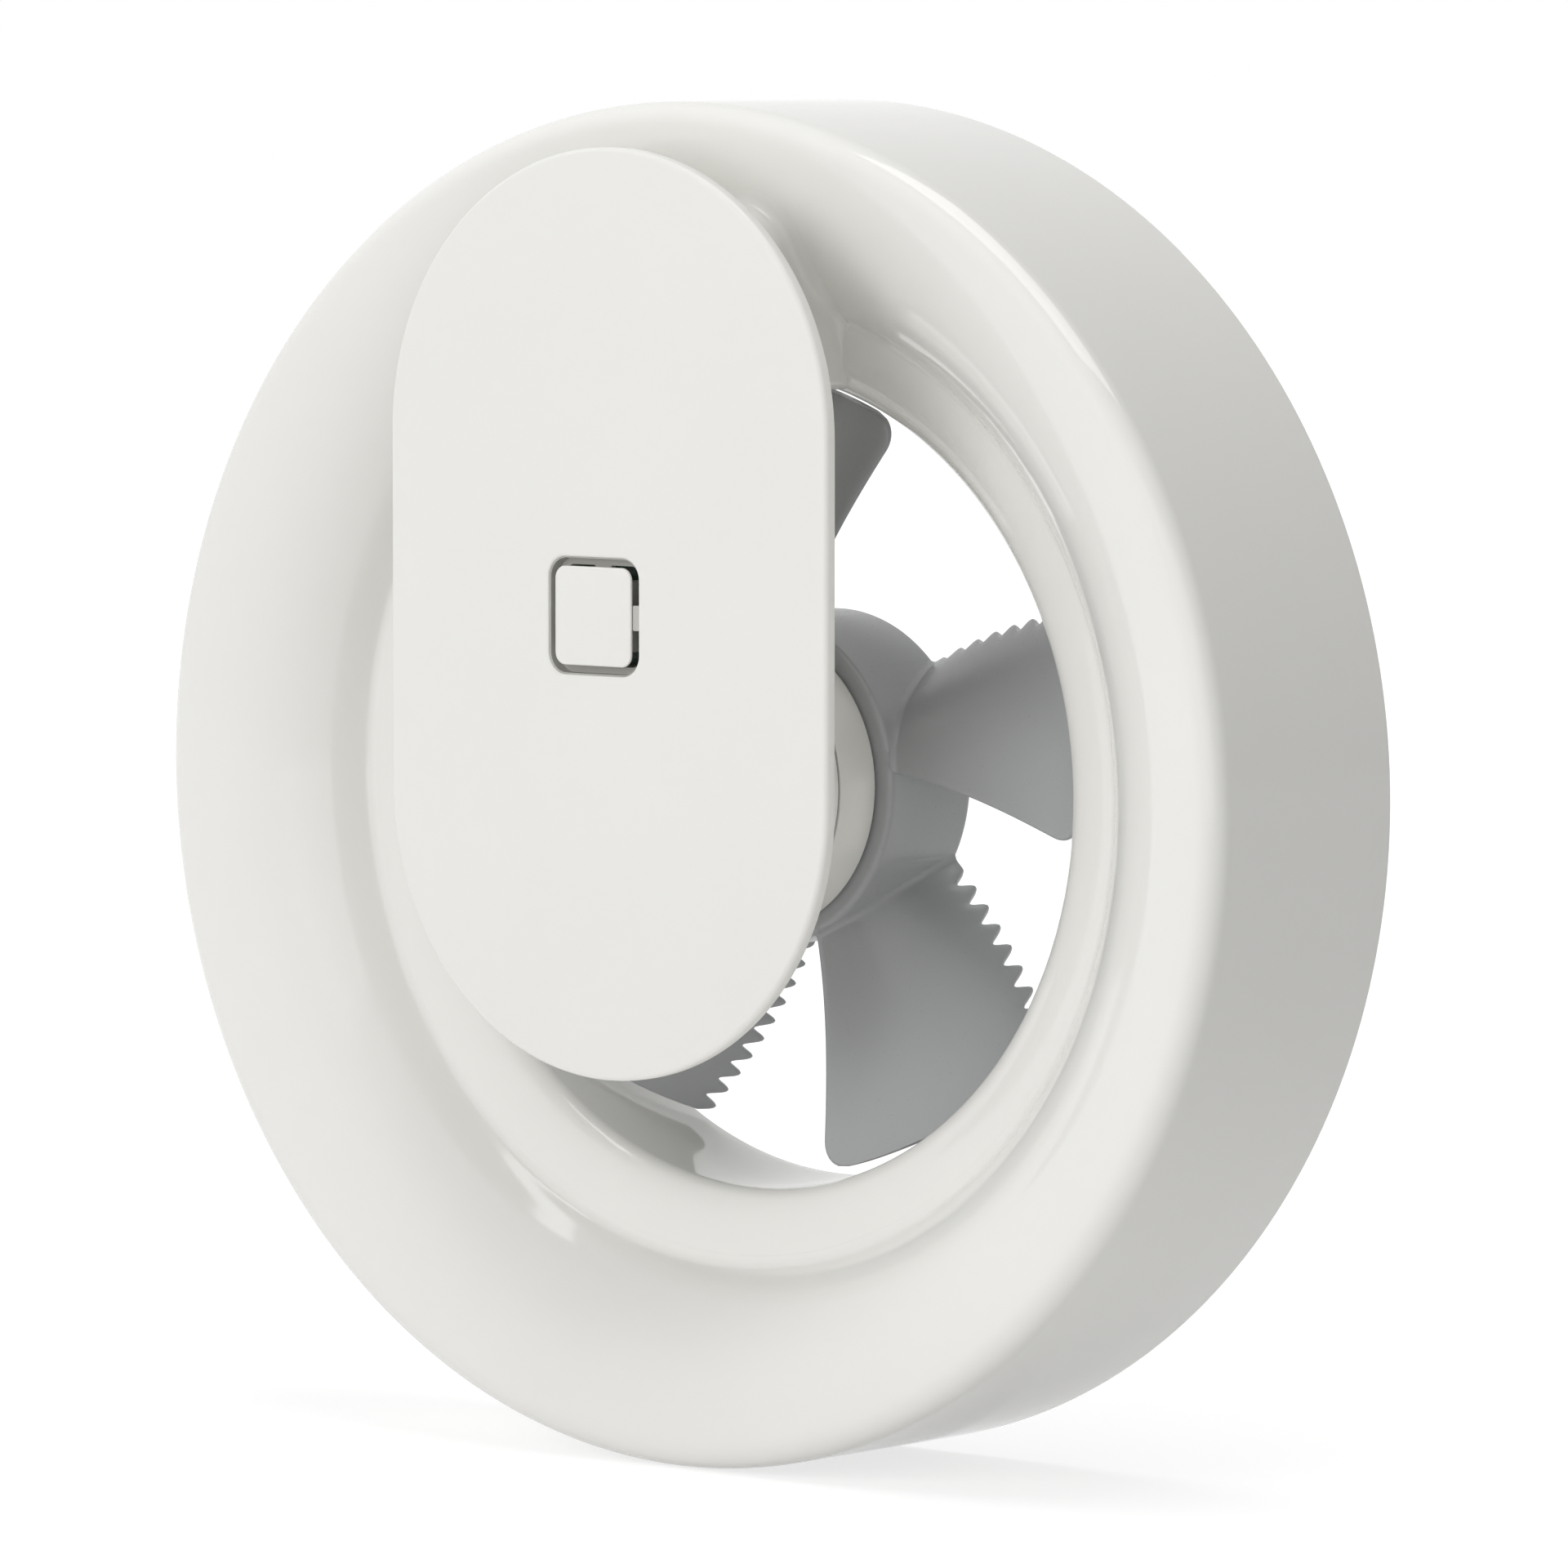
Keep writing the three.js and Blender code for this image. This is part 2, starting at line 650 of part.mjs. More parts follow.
function terminalBlock() {
  const { x: width, y: depth, z: height } = terminalSize;
  const frontY = backPlateY - depth;
  const body = box(-serviceRadius - width / 2, -serviceRadius + width / 2, frontY, backPlateY,
    terminalBottom, terminalBottom + height);
  const pitch = height / terminalWays;
  const mouths = steps(terminalWays).map((way) => {
    const z = terminalBottom + pitch * (way + 0.5);
    const halfMouth = terminalEntry / 2;
    return box(-serviceRadius - halfMouth, -serviceRadius + halfMouth, frontY - cutMargin,
      frontY + terminalEntryDepth, z - halfMouth, z + halfMouth);
  });
  return cut(body, mouths);
}

function cableClamp() {
  const { x: width, y: depth, z: height } = clampSize;
  const body = box(-serviceRadius - width / 2, -serviceRadius + width / 2, backPlateY - depth, backPlateY,
    clampBottom, clampBottom + height);
  const mouth = box(-serviceRadius - clampMouth.x / 2, -serviceRadius + clampMouth.x / 2,
    backPlateY - clampMouth.y, backPlateY + cutMargin,
    clampBottom - cutMargin, clampBottom + height + cutMargin);
  return cut(body, [mouth]);
}

// ---------------------------------------------------------------- front plate and button

// Y of the plate's domed front at a distance from the straight line through its middle
const domeY = (radius) => plateEdgeY - plateDome * (1 - (radius / plateHalfWidth) ** 2);

function plateSection() {
  const rings = 4;
  const domeEnd = plateHalfWidth - plateEdgeRadius;
  const radii = steps(rings + 1).map((i) => (domeEnd * i) / rings);
  const edgeFrontY = domeY(domeEnd) + plateEdgeRadius;
  return [
    ...radii.map((radius) => [radius, domeY(radius)]),
    ...arc(domeEnd, edgeFrontY, plateEdgeRadius, plateEdgeRadius, -Math.PI / 2, 0, 2).slice(1),
    [plateHalfWidth, plateEdgeY + plateThickness],
    ...radii.reverse().map((radius) => [radius, domeY(radius) + plateThickness]),
  ];
}

// Outline shared by the carrier's tray and the plate's skirt, drawn in by an inset
function trayPrism(inset, frontY, backY) {
  const half = neckHalfWidth - inset;
  const shape = roundedRectangle(-half, half, 0, neckTop - inset, neckCorner - inset);
  return prism(shape, frontY, backY).add(bar(cupRadius - inset, frontY, backY, middleFacets));
}

const buttonSquare = (size, corner) => roundedRectangle(
  -size / 2, size / 2, plateCentreZ - size / 2, plateCentreZ + size / 2, corner,
);

function frontPlate() {
  const shell = pill(plateSection(), plateHalfStraight, plateFacets).translate([0, 0, plateCentreZ]);
  const skirtFrontY = domeY(neckHalfWidth) + skirtRoot;
  const skirtHollow = trayPrism(skirtWall, skirtFrontY - cutMargin, trayRimY + cutMargin);
  const skirt = cut(trayPrism(0, skirtFrontY, trayRimY), [skirtHollow]);
  const opening = prism(buttonSquare(openingSize, openingCorner), buttonFrontY - cutMargin, trayRimY);
  return cut(shell.add(skirt), [opening]);
}

function buttonGuide() {
  const outer = openingSize + 2 * guideWall;
  const inner = buttonSize + 2 * guideLedge;
  const frontY = domeY(outer / 2) + plateThickness + guideGap;
  const frame = prism(buttonSquare(outer, openingCorner), frontY, boardFrontY);
  const square = buttonSquare(inner, buttonCorner + guideLedge);
  const hole = prism(square, frontY - cutMargin, boardFrontY + cutMargin);
  return cut(frame, [hole]);
}

function buttonCap() {
  const capBackY = buttonFrontY + buttonCapThickness;
  const skirtSize = buttonSize - 2 * buttonSkirtInset;
  const cap = prism(buttonSquare(buttonSize, buttonCorner), buttonFrontY, capBackY);
  const skirt = prism(buttonSquare(skirtSize, buttonCorner - buttonSkirtInset), capBackY - joinDepth,
    capBackY + buttonSkirtLength);
  const hollowSize = skirtSize - 2 * buttonSkirtWall;
  const hollow = prism(buttonSquare(hollowSize, buttonHollowCorner), capBackY,
    capBackY + buttonSkirtLength + cutMargin);
  const postBackY = plungerFrontY - buttonTravel - buttonReserve;
  const post = bar(buttonPostRadius, capBackY - joinDepth, postBackY, smallFacets, 0, plateCentreZ);
  return joined([cap, cut(skirt, [hollow]), post]);
}

// ---------------------------------------------------------------- motor carrier and motor cup

function motorCarrier() {
  const cupInner = cupRadius - cupWall;
  const outer = joined([
    trayPrism(0, trayRimY, trayBackY),
    bar(cupRadius, trayRimY, seamFrontY, middleFacets),
  ]);
  const hollow = joined([
    trayPrism(trayWall, trayRimY - cutMargin, trayFloorY),
    bar(cupInner, trayRimY - cutMargin, seamFrontY + cutMargin, middleFacets),
  ]);
  const flange = tube(cupInner + joinDepth, cupInner - cupFlangeWidth, seamFrontY - cupFlangeThickness,
    seamFrontY);
  const post = box(-postHalfWidth, postHalfWidth, trayBackY - joinDepth, backPlateY, postBottom, postTop);
  const channel = box(-postHalfWidth + postWall, postHalfWidth - postWall, trayBackY, backPlateY - postWall,
    postBottom + postWall, postTop + cutMargin);
  const standOffs = standOffHeights.flatMap((z) => [-standOffX, standOffX].map(
    (x) => bar(standOffRadius, boardBackY, trayFloorY + joinDepth, smallFacets, x, z),
  ));
  return joined([cut(outer, [hollow]), flange, cut(post, [channel]), ...standOffs]);
}

function damperRing() {
  return tube(cupRadius - damperInset, cupRadius - cupWall - cupFlangeWidth, seamFrontY, seamBackY);
}

function motorBase() {
  const cupInner = cupRadius - cupWall;
  const tubeMiddle = bearingRadius - bearingSeatLip;
  const collarRadius = bearingTubeRadius + statorCollarWidth;
  const shell = turned([
    [cupRadius, seamBackY],
    ...arc(cupRadius - cupBackEdge, cupBackY - cupBackEdge, cupBackEdge, cupBackEdge, 0, Math.PI / 2, 3),
    [collarRadius, cupBackY],
    [collarRadius, statorFrontY],
    [bearingTubeRadius, statorFrontY],
    [bearingTubeRadius, bearingTubeBackY],
    [bearingRadius, bearingTubeBackY],
    [bearingRadius, bearingTubeBackY - bearingLength],
    [tubeMiddle, bearingTubeBackY - bearingLength],
    [tubeMiddle, bearingTubeFrontY + bearingLength],
    [bearingRadius, bearingTubeFrontY + bearingLength],
    [bearingRadius, bearingTubeFrontY],
    [bearingTubeRadius, bearingTubeFrontY],
    [bearingTubeRadius, cupFloorY],
    [cupInner, cupFloorY],
    [cupInner, seamBackY],
  ]);
  const post = bar(motorPostRadius, cupFloorY - motorBoardLift, cupFloorY + joinDepth, smallFacets,
    motorPostCircle, 0);
  return joined([shell, ...ringOf(motorPostCount, post, 30)]);
}

function motorBoard() {
  const backY = cupFloorY - motorBoardLift;
  return tube(motorBoardRadius, motorBoardBore, backY - boardThickness, backY);
}

// ---------------------------------------------------------------- motor

function bearing(frontY) {
  return tube(bearingRadius - pressFit, shaftRadius + shaftPlay, frontY, frontY + bearingLength, smallFacets);
}

function statorCore() {
  const ringOuter = bearingTubeRadius + pressFit + coreRingWidth;
  const shoeInner = statorRadius - poleShoeThickness;
  const core = tube(ringOuter, bearingTubeRadius + pressFit, statorFrontY, statorBackY);
  const shoes = tube(statorRadius, shoeInner, statorFrontY, statorBackY);
  const slot = box(shoeInner - cutMargin, statorRadius + cutMargin,
    statorFrontY - cutMargin, statorBackY + cutMargin,
    -poleShoeGap / 2, poleShoeGap / 2);
  const pole = box(ringOuter - joinDepth, shoeInner + joinDepth, statorFrontY, statorBackY,
    -poleWidth / 2, poleWidth / 2);
  return joined([
    core,
    cut(shoes, ringOf(poleCount, slot, 180 / poleCount)),
    ...ringOf(poleCount, pole),
  ]);
}

// One coil: a flat ring of winding round a pole that points along +X
function coil() {
  const from = bearingTubeRadius + pressFit + coreRingWidth + coilPlay;
  const middleY = (statorFrontY + statorBackY) / 2;
  const window = { y: statorHeight / 2 + coilPlay, z: poleWidth / 2 + coilPlay };
  const shape = new THREE.Shape();
  const halfY = window.y + coilThickness;
  const halfZ = window.z + coilThickness;
  const to = Math.sqrt((statorRadius - poleShoeThickness) ** 2 - halfZ ** 2) - coilPlay;
  shape.absarc(halfZ - coilThickness, halfY - coilThickness, coilThickness, 0, Math.PI / 2);
  shape.absarc(coilThickness - halfZ, halfY - coilThickness, coilThickness, Math.PI / 2, Math.PI);
  shape.absarc(coilThickness - halfZ, coilThickness - halfY, coilThickness, Math.PI, 1.5 * Math.PI);
  shape.absarc(halfZ - coilThickness, coilThickness - halfY, coilThickness, 1.5 * Math.PI, 2 * Math.PI);
  const geometry = new THREE.ExtrudeGeometry(shape, { depth: to - from, bevelEnabled: false, curveSegments: 4 });
  geometry.rotateY(Math.PI / 2);
  geometry.translate(from, middleY, 0);
  const opening = box(from - cutMargin, to + cutMargin, middleY - window.y, middleY + window.y,
    -window.z, window.z);
  return cut(solid(geometry), [opening]);
}

function motorShaft() {
  return bar(shaftRadius, bearingTubeFrontY - shaftNose, hubFloorY - pressFit);
}

function shaftClip() {
  const backY = bearingTubeFrontY - clipSetback;
  return tube(shaftRadius + clipWidth, shaftRadius + pressFit, backY - clipThickness, backY, smallFacets);
}

function rotorYoke() {
  return turned([
    [yokeOuterRadius, yokeFrontY],
    [yokeOuterRadius, hubFloorY],
    [yokeHoleRadius, hubFloorY],
    [yokeHoleRadius, hubFloorY - yokeThickness],
    [yokeOuterRadius - yokeThickness, hubFloorY - yokeThickness],
    [yokeOuterRadius - yokeThickness, yokeFrontY],
  ]);
}

function rotorMagnet() {
  return tube(magnetOuterRadius, magnetInnerRadius, yokeFrontY, yokeFrontY + magnetLength);
}

// ---------------------------------------------------------------- impeller

// Angles of a blade's edges at a distance from the axis, in degrees
const outward = (radius) => (radius - hubRadius) / (tipRadius - hubRadius);
const bow = (share) => 4 * share * (1 - share);
const frontAngle = (radius) => bladeFrontAngle - bladeFrontLag * outward(radius)
  - bladeFrontBow * bow(outward(radius));
const rearAngle = (radius) => bladeRearAngle - bladeRearLag * outward(radius)
  - bladeRearBow * bow(outward(radius));

// Length round the axis and depth of a blade's sheet at a radius, each for a whole blade
const bladeArc = (radius) => radius * degrees(rearAngle(radius) - frontAngle(radius));
const bladeDepth = bladeBackY - bladeFrontY;

// A place on a blade. Along runs from 0 at the front edge to 1 at the rear edge, and lift is the distance
// from the middle of the sheet. The sheet starts flat and turns towards the axis as it runs back.
function onBlade(radius, along, lift) {
  const arcLength = bladeArc(radius);
  const run = new THREE.Vector2(arcLength, bladeDepth * bladeCamber * along ** (bladeCamber - 1)).normalize();
  const turn = (along * arcLength - lift * run.y) / radius;
  const place = polar(radius, frontAngle(radius) + THREE.MathUtils.radToDeg(turn));
  const y = bladeFrontY + bladeDepth * along ** bladeCamber + lift * run.x;
  return new THREE.Vector3(place.x, y, place.y);
}

// Where the round tip corner starts the blade at a radius, and where the teeth end it
function bladeStart(radius) {
  const past = Math.max(0, radius - (tipRadius - bladeTipCorner));
  return (bladeTipCorner - Math.sqrt(bladeTipCorner ** 2 - past ** 2)) / bladeArc(radius);
}

function bladeEnd(radius) {
  const teeth = Math.max(0, radius - hubRadius - toothStart) / toothPitch;
  const notch = (toothDepth * (1 - Math.cos(2 * Math.PI * teeth))) / 2;
  return 1 - notch / Math.hypot(bladeArc(radius), bladeDepth * bladeCamber);
}

// One turn round the blade at a radius, out along its front side and home along its back
function bladeSection(radius) {
  const spread = 3;
  const [start, end] = [bladeStart(radius), bladeEnd(radius)];
  const edge = bladeEdgeLength / bladeArc(radius);
  const rise = Math.min(bladeRootFillet, Math.max(0, hubRadius + bladeRootFillet - radius));
  const flare = bladeRootFillet - Math.sqrt(bladeRootFillet ** 2 - rise ** 2);
  const half = bladeThickness / 2 + flare;
  const stations = [
    [start, bladeEdgeThickness / 2],
    ...steps(spread + 1).map((i) => [THREE.MathUtils.lerp(start + edge, end - edge / 2, i / spread), half]),
    [end, bladeEdgeThickness / 2],
  ];
  return [
    ...stations.map(([along, lift]) => onBlade(radius, along, -lift)),
    ...stations.reverse().map(([along, lift]) => onBlade(radius, along, lift)),
  ];
}

// A blade from inside the hub's wall to its tip. Its rows are close enough together to shape the teeth.
function blade() {
  const firstTooth = hubRadius + toothStart;
  const rowCount = Math.floor(((tipRadius - firstTooth) / toothPitch) * toothSamples);
  const radii = [
    hubRadius - hubWall / 2,
    hubRadius,
    hubRadius + bladeRootFillet / 2,
    hubRadius + bladeRootFillet,
    ...steps(rowCount + 1).map((i) => firstTooth + (toothPitch * i) / toothSamples),
    tipRadius,
  ];
  return loftSections(radii.map(bladeSection));
}

function impeller() {
  const hubInner = hubRadius - hubWall;
  const bossFrontY = bearingTubeBackY + hubBossGap;
  const bore = shaftRadius + pressFit;
  const hub = turned([
    [hubRadius, hubFrontY],
    ...arc(hubRadius - hubCornerRadius, hubBackY - hubCornerRadius, hubCornerRadius, hubCornerRadius,
      0, Math.PI / 2, 3),
    [0, hubBackY],
    [0, hubFloorY],
    [bore, hubFloorY],
    [bore, bossFrontY],
    [hubBossRadius, bossFrontY],
    [hubBossRadius, hubFloorY],
    [hubInner, hubFloorY],
    [hubInner, hubFrontY],
  ]);
  return joined([hub, ...ringOf(bladeCount, blade())]);
}

// ---------------------------------------------------------------- electronics behind the plate

function controlBoard() {
  const shape = roundedRectangle(-boardHalfWidth, boardHalfWidth, boardBottom, boardTop, boardCorner);
  return prism(shape, boardFrontY, boardBackY);
}

const onBoard = (size, z) => box(-size.x / 2, size.x / 2, boardFrontY - size.y, boardFrontY,
  z - size.z / 2, z + size.z / 2);

function tactSwitch() {
  const half = switchBodySize / 2;
  const bodyFrontY = boardFrontY - switchBodyHeight;
  const body = box(-half, half, bodyFrontY, boardFrontY, plateCentreZ - half, plateCentreZ + half);
  return body.add(bar(plungerRadius, plungerFrontY, bodyFrontY + joinDepth, smallFacets, 0, plateCentreZ));
}

// ---------------------------------------------------------------- the fan

piece('front_ring', frontRing(), materials.glossWhite);
piece('bellmouth', bellmouth(), materials.glossWhite);
piece('back_plate', backPlate(), materials.glossWhite);
piece('rear_seal', rearSeal(), materials.foam);
piece('cable_grommet', cableGrommet(), materials.rubber);
piece('terminal_block', terminalBlock(), materials.terminalCream);
piece('cable_clamp', cableClamp(), materials.satinWhite);

piece('front_plate', frontPlate(), materials.satinWhite);
piece('button_guide', buttonGuide(), materials.frameGrey);
piece('button_cap', buttonCap(), materials.satinWhite);

piece('motor_carrier', motorCarrier(), materials.cupWhite);
piece('damper_ring', damperRing(), materials.rubber);
piece('motor_base', motorBase(), materials.cupWhite);
piece('motor_board', motorBoard(), materials.boardGreen);
piece('front_bearing', bearing(bearingTubeFrontY), materials.steel);
piece('rear_bearing', bearing(bearingTubeBackY - bearingLength), materials.steel);
piece('stator_core', statorCore(), materials.laminations);
ringOf(poleCount, coil()).forEach((body, i) => piece(`coil_${i + 1}`, body, materials.copper));

piece('motor_shaft', motorShaft(), materials.steel);
piece('shaft_clip', shaftClip(), materials.steel);
piece('rotor_yoke', rotorYoke(), materials.steel);
piece('rotor_magnet', rotorMagnet(), materials.magnetBlack);
piece('impeller', impeller(), materials.fanGrey);

piece('control_board', controlBoard(), materials.boardGreen);
piece('tact_switch', tactSwitch(), materials.blackPlastic);
piece('power_module', onBoard(powerModuleSize, powerModuleZ), materials.blackPlastic);
piece('motor_plug', onBoard(plugSize, plugZ), materials.terminalCream);
piece('filter_capacitor', bar(capacitorRadius, boardFrontY - capacitorHeight, boardFrontY, smallFacets,
  capacitorPlace.x, capacitorPlace.y), materials.blackPlastic);

export default fan;
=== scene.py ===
"""Looks of a round axial exhaust fan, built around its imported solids.

Sizes are written in millimetres and drawn in metres. +Z is up and the front faces -Y.
The fan turns about the Y axis, and the origin is on that axis in the plane of the flat back.
Outlines of turned pieces are lists of (radius, y), and those of flat ones are lists of (x, z).
"""

import math
from types import SimpleNamespace

import bpy
from mathutils import Matrix, Vector


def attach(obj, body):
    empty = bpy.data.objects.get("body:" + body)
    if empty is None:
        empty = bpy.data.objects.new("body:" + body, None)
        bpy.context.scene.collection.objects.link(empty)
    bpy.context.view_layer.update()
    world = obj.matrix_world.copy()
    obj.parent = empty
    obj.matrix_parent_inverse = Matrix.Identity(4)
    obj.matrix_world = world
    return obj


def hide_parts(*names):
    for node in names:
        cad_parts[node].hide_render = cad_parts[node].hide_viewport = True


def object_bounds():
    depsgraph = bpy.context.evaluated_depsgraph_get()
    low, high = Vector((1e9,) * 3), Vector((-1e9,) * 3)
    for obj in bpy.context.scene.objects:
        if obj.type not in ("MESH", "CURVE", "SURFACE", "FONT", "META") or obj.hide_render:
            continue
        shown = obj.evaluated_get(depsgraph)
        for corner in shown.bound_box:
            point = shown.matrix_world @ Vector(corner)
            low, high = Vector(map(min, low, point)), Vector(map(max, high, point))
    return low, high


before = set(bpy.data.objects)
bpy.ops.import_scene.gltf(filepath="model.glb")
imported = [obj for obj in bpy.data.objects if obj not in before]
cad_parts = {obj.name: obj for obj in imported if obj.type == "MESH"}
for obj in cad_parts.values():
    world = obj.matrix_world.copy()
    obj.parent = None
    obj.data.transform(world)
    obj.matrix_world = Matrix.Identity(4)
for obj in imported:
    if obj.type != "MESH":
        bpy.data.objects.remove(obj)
CAD_BOX = [list(corner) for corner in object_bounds()]

bl_info = {
    "name": "Exhaust fan",
    "version": (1, 0, 0),
    "blender": (4, 5, 0),
    "location": "3D View > Sidebar > Fan",
    "description": "Models and finishes a round exhaust fan around its solids",
    "category": "Object",
}

MM = 0.001
QUARTER = math.pi / 2


def linear(code):
    """A colour written as sRGB hex, turned to the linear values that Blender works in."""
    values = [int(code[i : i + 2], 16) / 255 for i in (1, 3, 5)]
    return (*[v / 12.92 if v <= 0.04045 else ((v + 0.055) / 1.055) ** 2.4 for v in values], 1)


# ---------------------------------------------------------------- sizes and colours to change


def length(meaning, size):
    """A length that is written in millimetres and kept in metres."""
    return bpy.props.FloatProperty(
        description=meaning, default=size * MM, unit="LENGTH", precision=5)


class FanSizes(bpy.types.PropertyGroup):
    """Sizes of the mouldings."""

    drum_radius: length("Outside of the drum", 110)
    drum_depth: length("From the flat back to the crest of the rolled front", 45.5)
    drum_wall: length("Wall of the drum and the rolled front", 2.4)
    rim_fillet: length("Round outer edge of the front", 4)
    crease_radius: length("Where the rolled front ends at the bellmouth", 78.6)
    crease_depth: length("How far the crease lies behind the crest", 16)
    crease_fillet: length("Hollow round beside the land", 2)
    land_width: length("Land inside the crease, up to the seam", 1.8)
    seam_gap: length("Hairline between the land and the bellmouth", 0.005)
    cover_edge: length("Depth of the rolled front's inner edge", 2.2)
    bore_radius: length("Inside of the air duct", 66.2)
    lip_depth: length("Depth of the bellmouth's lip along the axis", 5.8)
    duct_wall: length("Wall of the air duct", 2.2)
    back_plate: length("Thickness of the back plate", 2.5)
    clearance: length("Gap between mouldings that fit into each other", 0.3)
    plate_half_width: length("Half the width of the front plate", 45.5)
    plate_half_straight: length("Half the straight side of the plate", 28.9)
    plate_centre: length("Height of the plate's middle over the axis", 28.5)
    plate_stand_off: length("From the crest to the front of the plate's edge", 15.7)
    plate_dome: length("How far the plate's middle stands forward", 3.1)
    plate_thickness: length("Thickness of the front plate", 2.3)
    opening_size: length("Side of the push button's opening", 18.8)
    button_gap: length("Gap round the push button", 1.5)
    neck_half_width: length("Half the width of the neck", 22.5)
    neck_top: length("Height of the neck's top over the axis", 93.5)
    neck_bottom: length("Height of the neck's foot over the axis", 64)
    neck_fillet: length("Round where the neck meets the rolled front", 3)
    cup_radius: length("Outside of the motor cup", 24.4)
    hub_radius: length("Outside of the impeller's hub", 27)
    tip_radius: length("Tips of the blades", 64.2)
    blade_thickness: length("Thickness of a blade", 1.8)
    tooth_pitch: length("Distance between the teeth of a blade", 3.75)
    tooth_depth: length("Depth of the teeth of a blade", 2.8)


def tint(meaning, code):
    """A colour that is written as sRGB hex and kept as linear values."""
    return bpy.props.FloatVectorProperty(
        description=meaning, size=4, subtype="COLOR", default=linear(code))


class FanColours(bpy.types.PropertyGroup):
    """Colours of the mouldings."""

    gloss_white: tint("Rolled front, neck and duct", "#f0efeb")
    satin_white: tint("Front plate and push button", "#eeede9")
    cup_white: tint("Motor cup and carrier", "#edece7")
    fan_grey: tint("Hub and blades", "#a8aaab")
    # The frame's grey is partly painted shade, which darkens the deep gaps round the push button.
    guide_grey: tint("Frame round the push button", "#bdbcb6")


# How far a cutter stands past what it cuts, and how far a joined piece is sunk into its base.
OVER = 1
SUNK = 0.5

# Tray, motor cup, hub and blades: walls, gaps, and distances from the crest or the flat back.
SHELL = 2
TRAY_RIM = 12
TRAY_BACK = 3
BOARD_GAP = 3.5
BOARD_THICKNESS = 1.6
CUP_SEAM = 13.25
CUP_SEAM_WIDTH = 0.5
CUP_BACK = 22.8
HUB_GAP = 0.5
HUB_BACK = 0.8
BLADE_FRONT_INSET = 1.8
BLADE_BACK_INSET = 0.4


def measure(sizes):
    """All sizes in millimetres, and the places that follow from them.

    The crest is the foremost line of the rolled front. The tray lies before it, the motor's cup
    and the impeller's hub behind it.
    """
    m = SimpleNamespace(
        **{name: round(getattr(sizes, name) / MM, 4) for name in FanSizes.__annotations__})
    m.crest = -m.drum_depth
    m.crease = m.crest + m.crease_depth
    m.seam = m.crease_radius - m.land_width
    m.lip = m.seam - m.seam_gap
    m.lip_back = m.crease + m.lip_depth
    m.bulge_r = m.drum_radius - m.rim_fillet
    width = m.bulge_r - m.crease_radius
    m.bulge = (width**2 + m.crease_depth**2) / (2 * m.crease_depth)
    m.bulge_y = m.crest + m.bulge
    m.valley_y = m.crease - m.crease_fillet
    reach = m.bulge + m.crease_fillet
    m.valley_r = m.bulge_r - math.sqrt(reach**2 - (m.bulge_y - m.valley_y) ** 2)
    m.bulge_turn = math.asin((m.bulge_r - m.valley_r) / reach)
    m.plate_y = -m.back_plate
    m.duct = m.bore_radius + m.duct_wall
    m.edge_y = m.crest - m.plate_stand_off
    m.button_y = m.edge_y - m.plate_dome
    m.button = m.opening_size - 2 * m.button_gap
    m.tray_rim = m.crest - TRAY_RIM
    m.tray_back = m.crest - TRAY_BACK
    m.tray_floor = m.tray_back - SHELL
    m.seam_front = m.crest + CUP_SEAM
    m.seam_back = m.seam_front + CUP_SEAM_WIDTH
    m.cup_back = m.crest + CUP_BACK
    m.cup_floor = m.cup_back - SHELL
    m.board_front = m.tray_floor - BOARD_GAP
    m.hub_front = m.cup_back + HUB_GAP
    m.hub_back = -HUB_BACK
    m.blade_front = m.hub_front + BLADE_FRONT_INSET
    m.blade_back = m.hub_back - BLADE_BACK_INSET
    return m


# ---------------------------------------------------------------- materials


# Width of the slow clouds in a moulding's colour.
CLOUD_WIDTH = 35


def add(tree, kind, settings=None, values=None, links=None):
    """One node with its settings, its values and what is linked into it."""
    made = tree.nodes.new(kind)
    for name, value in (settings or {}).items():
        setattr(made, name, value)
    for name, value in (values or {}).items():
        made.inputs[name].default_value = value
    for name, source in (links or {}).items():
        tree.links.new(source, made.inputs[name])
    return made


def blank(name, constants):
    """A new material with constants on its shader, and with the object's own coordinates."""
    material = bpy.data.materials.new(name)
    material.use_nodes = True
    tree = material.node_tree
    shader = tree.nodes["Principled BSDF"]
    for socket, value in constants.items():
        shader.inputs[socket].default_value = value
    place = add(tree, "ShaderNodeTexCoord").outputs["Object"]
    return SimpleNamespace(material=material, tree=tree, shader=shader, place=place)


def dress(base, pattern, tints, sheens, height, fine=None, relief=None):
    """Lays a colour, a sheen and a relief on a material. One pattern sets them all, unless the
    sheen or the relief has its own."""
    colour = add(base.tree, "ShaderNodeMix", {"data_type": "RGBA"}, dict(zip("AB", tints)),
                 {"Factor": pattern})
    roughness = add(base.tree, "ShaderNodeMapRange", None, dict(zip(("To Min", "To Max"), sheens)),
                    {"Value": fine or pattern})
    bump = add(base.tree, "ShaderNodeBump", None, {"Strength": 1, "Distance": height * MM},
               {"Height": relief or pattern})
    base.tree.links.new(colour.outputs["Result"], base.shader.inputs["Base Color"])
    base.tree.links.new(roughness.outputs["Result"], base.shader.inputs["Roughness"])
    base.tree.links.new(bump.outputs["Normal"], base.shader.inputs["Normal"])
    return base.material


def shaded(colour, share):
    """A colour made darker or lighter by a share of itself."""
    return (*[min(1, v * (1 + share)) for v in colour[:3]], 1)


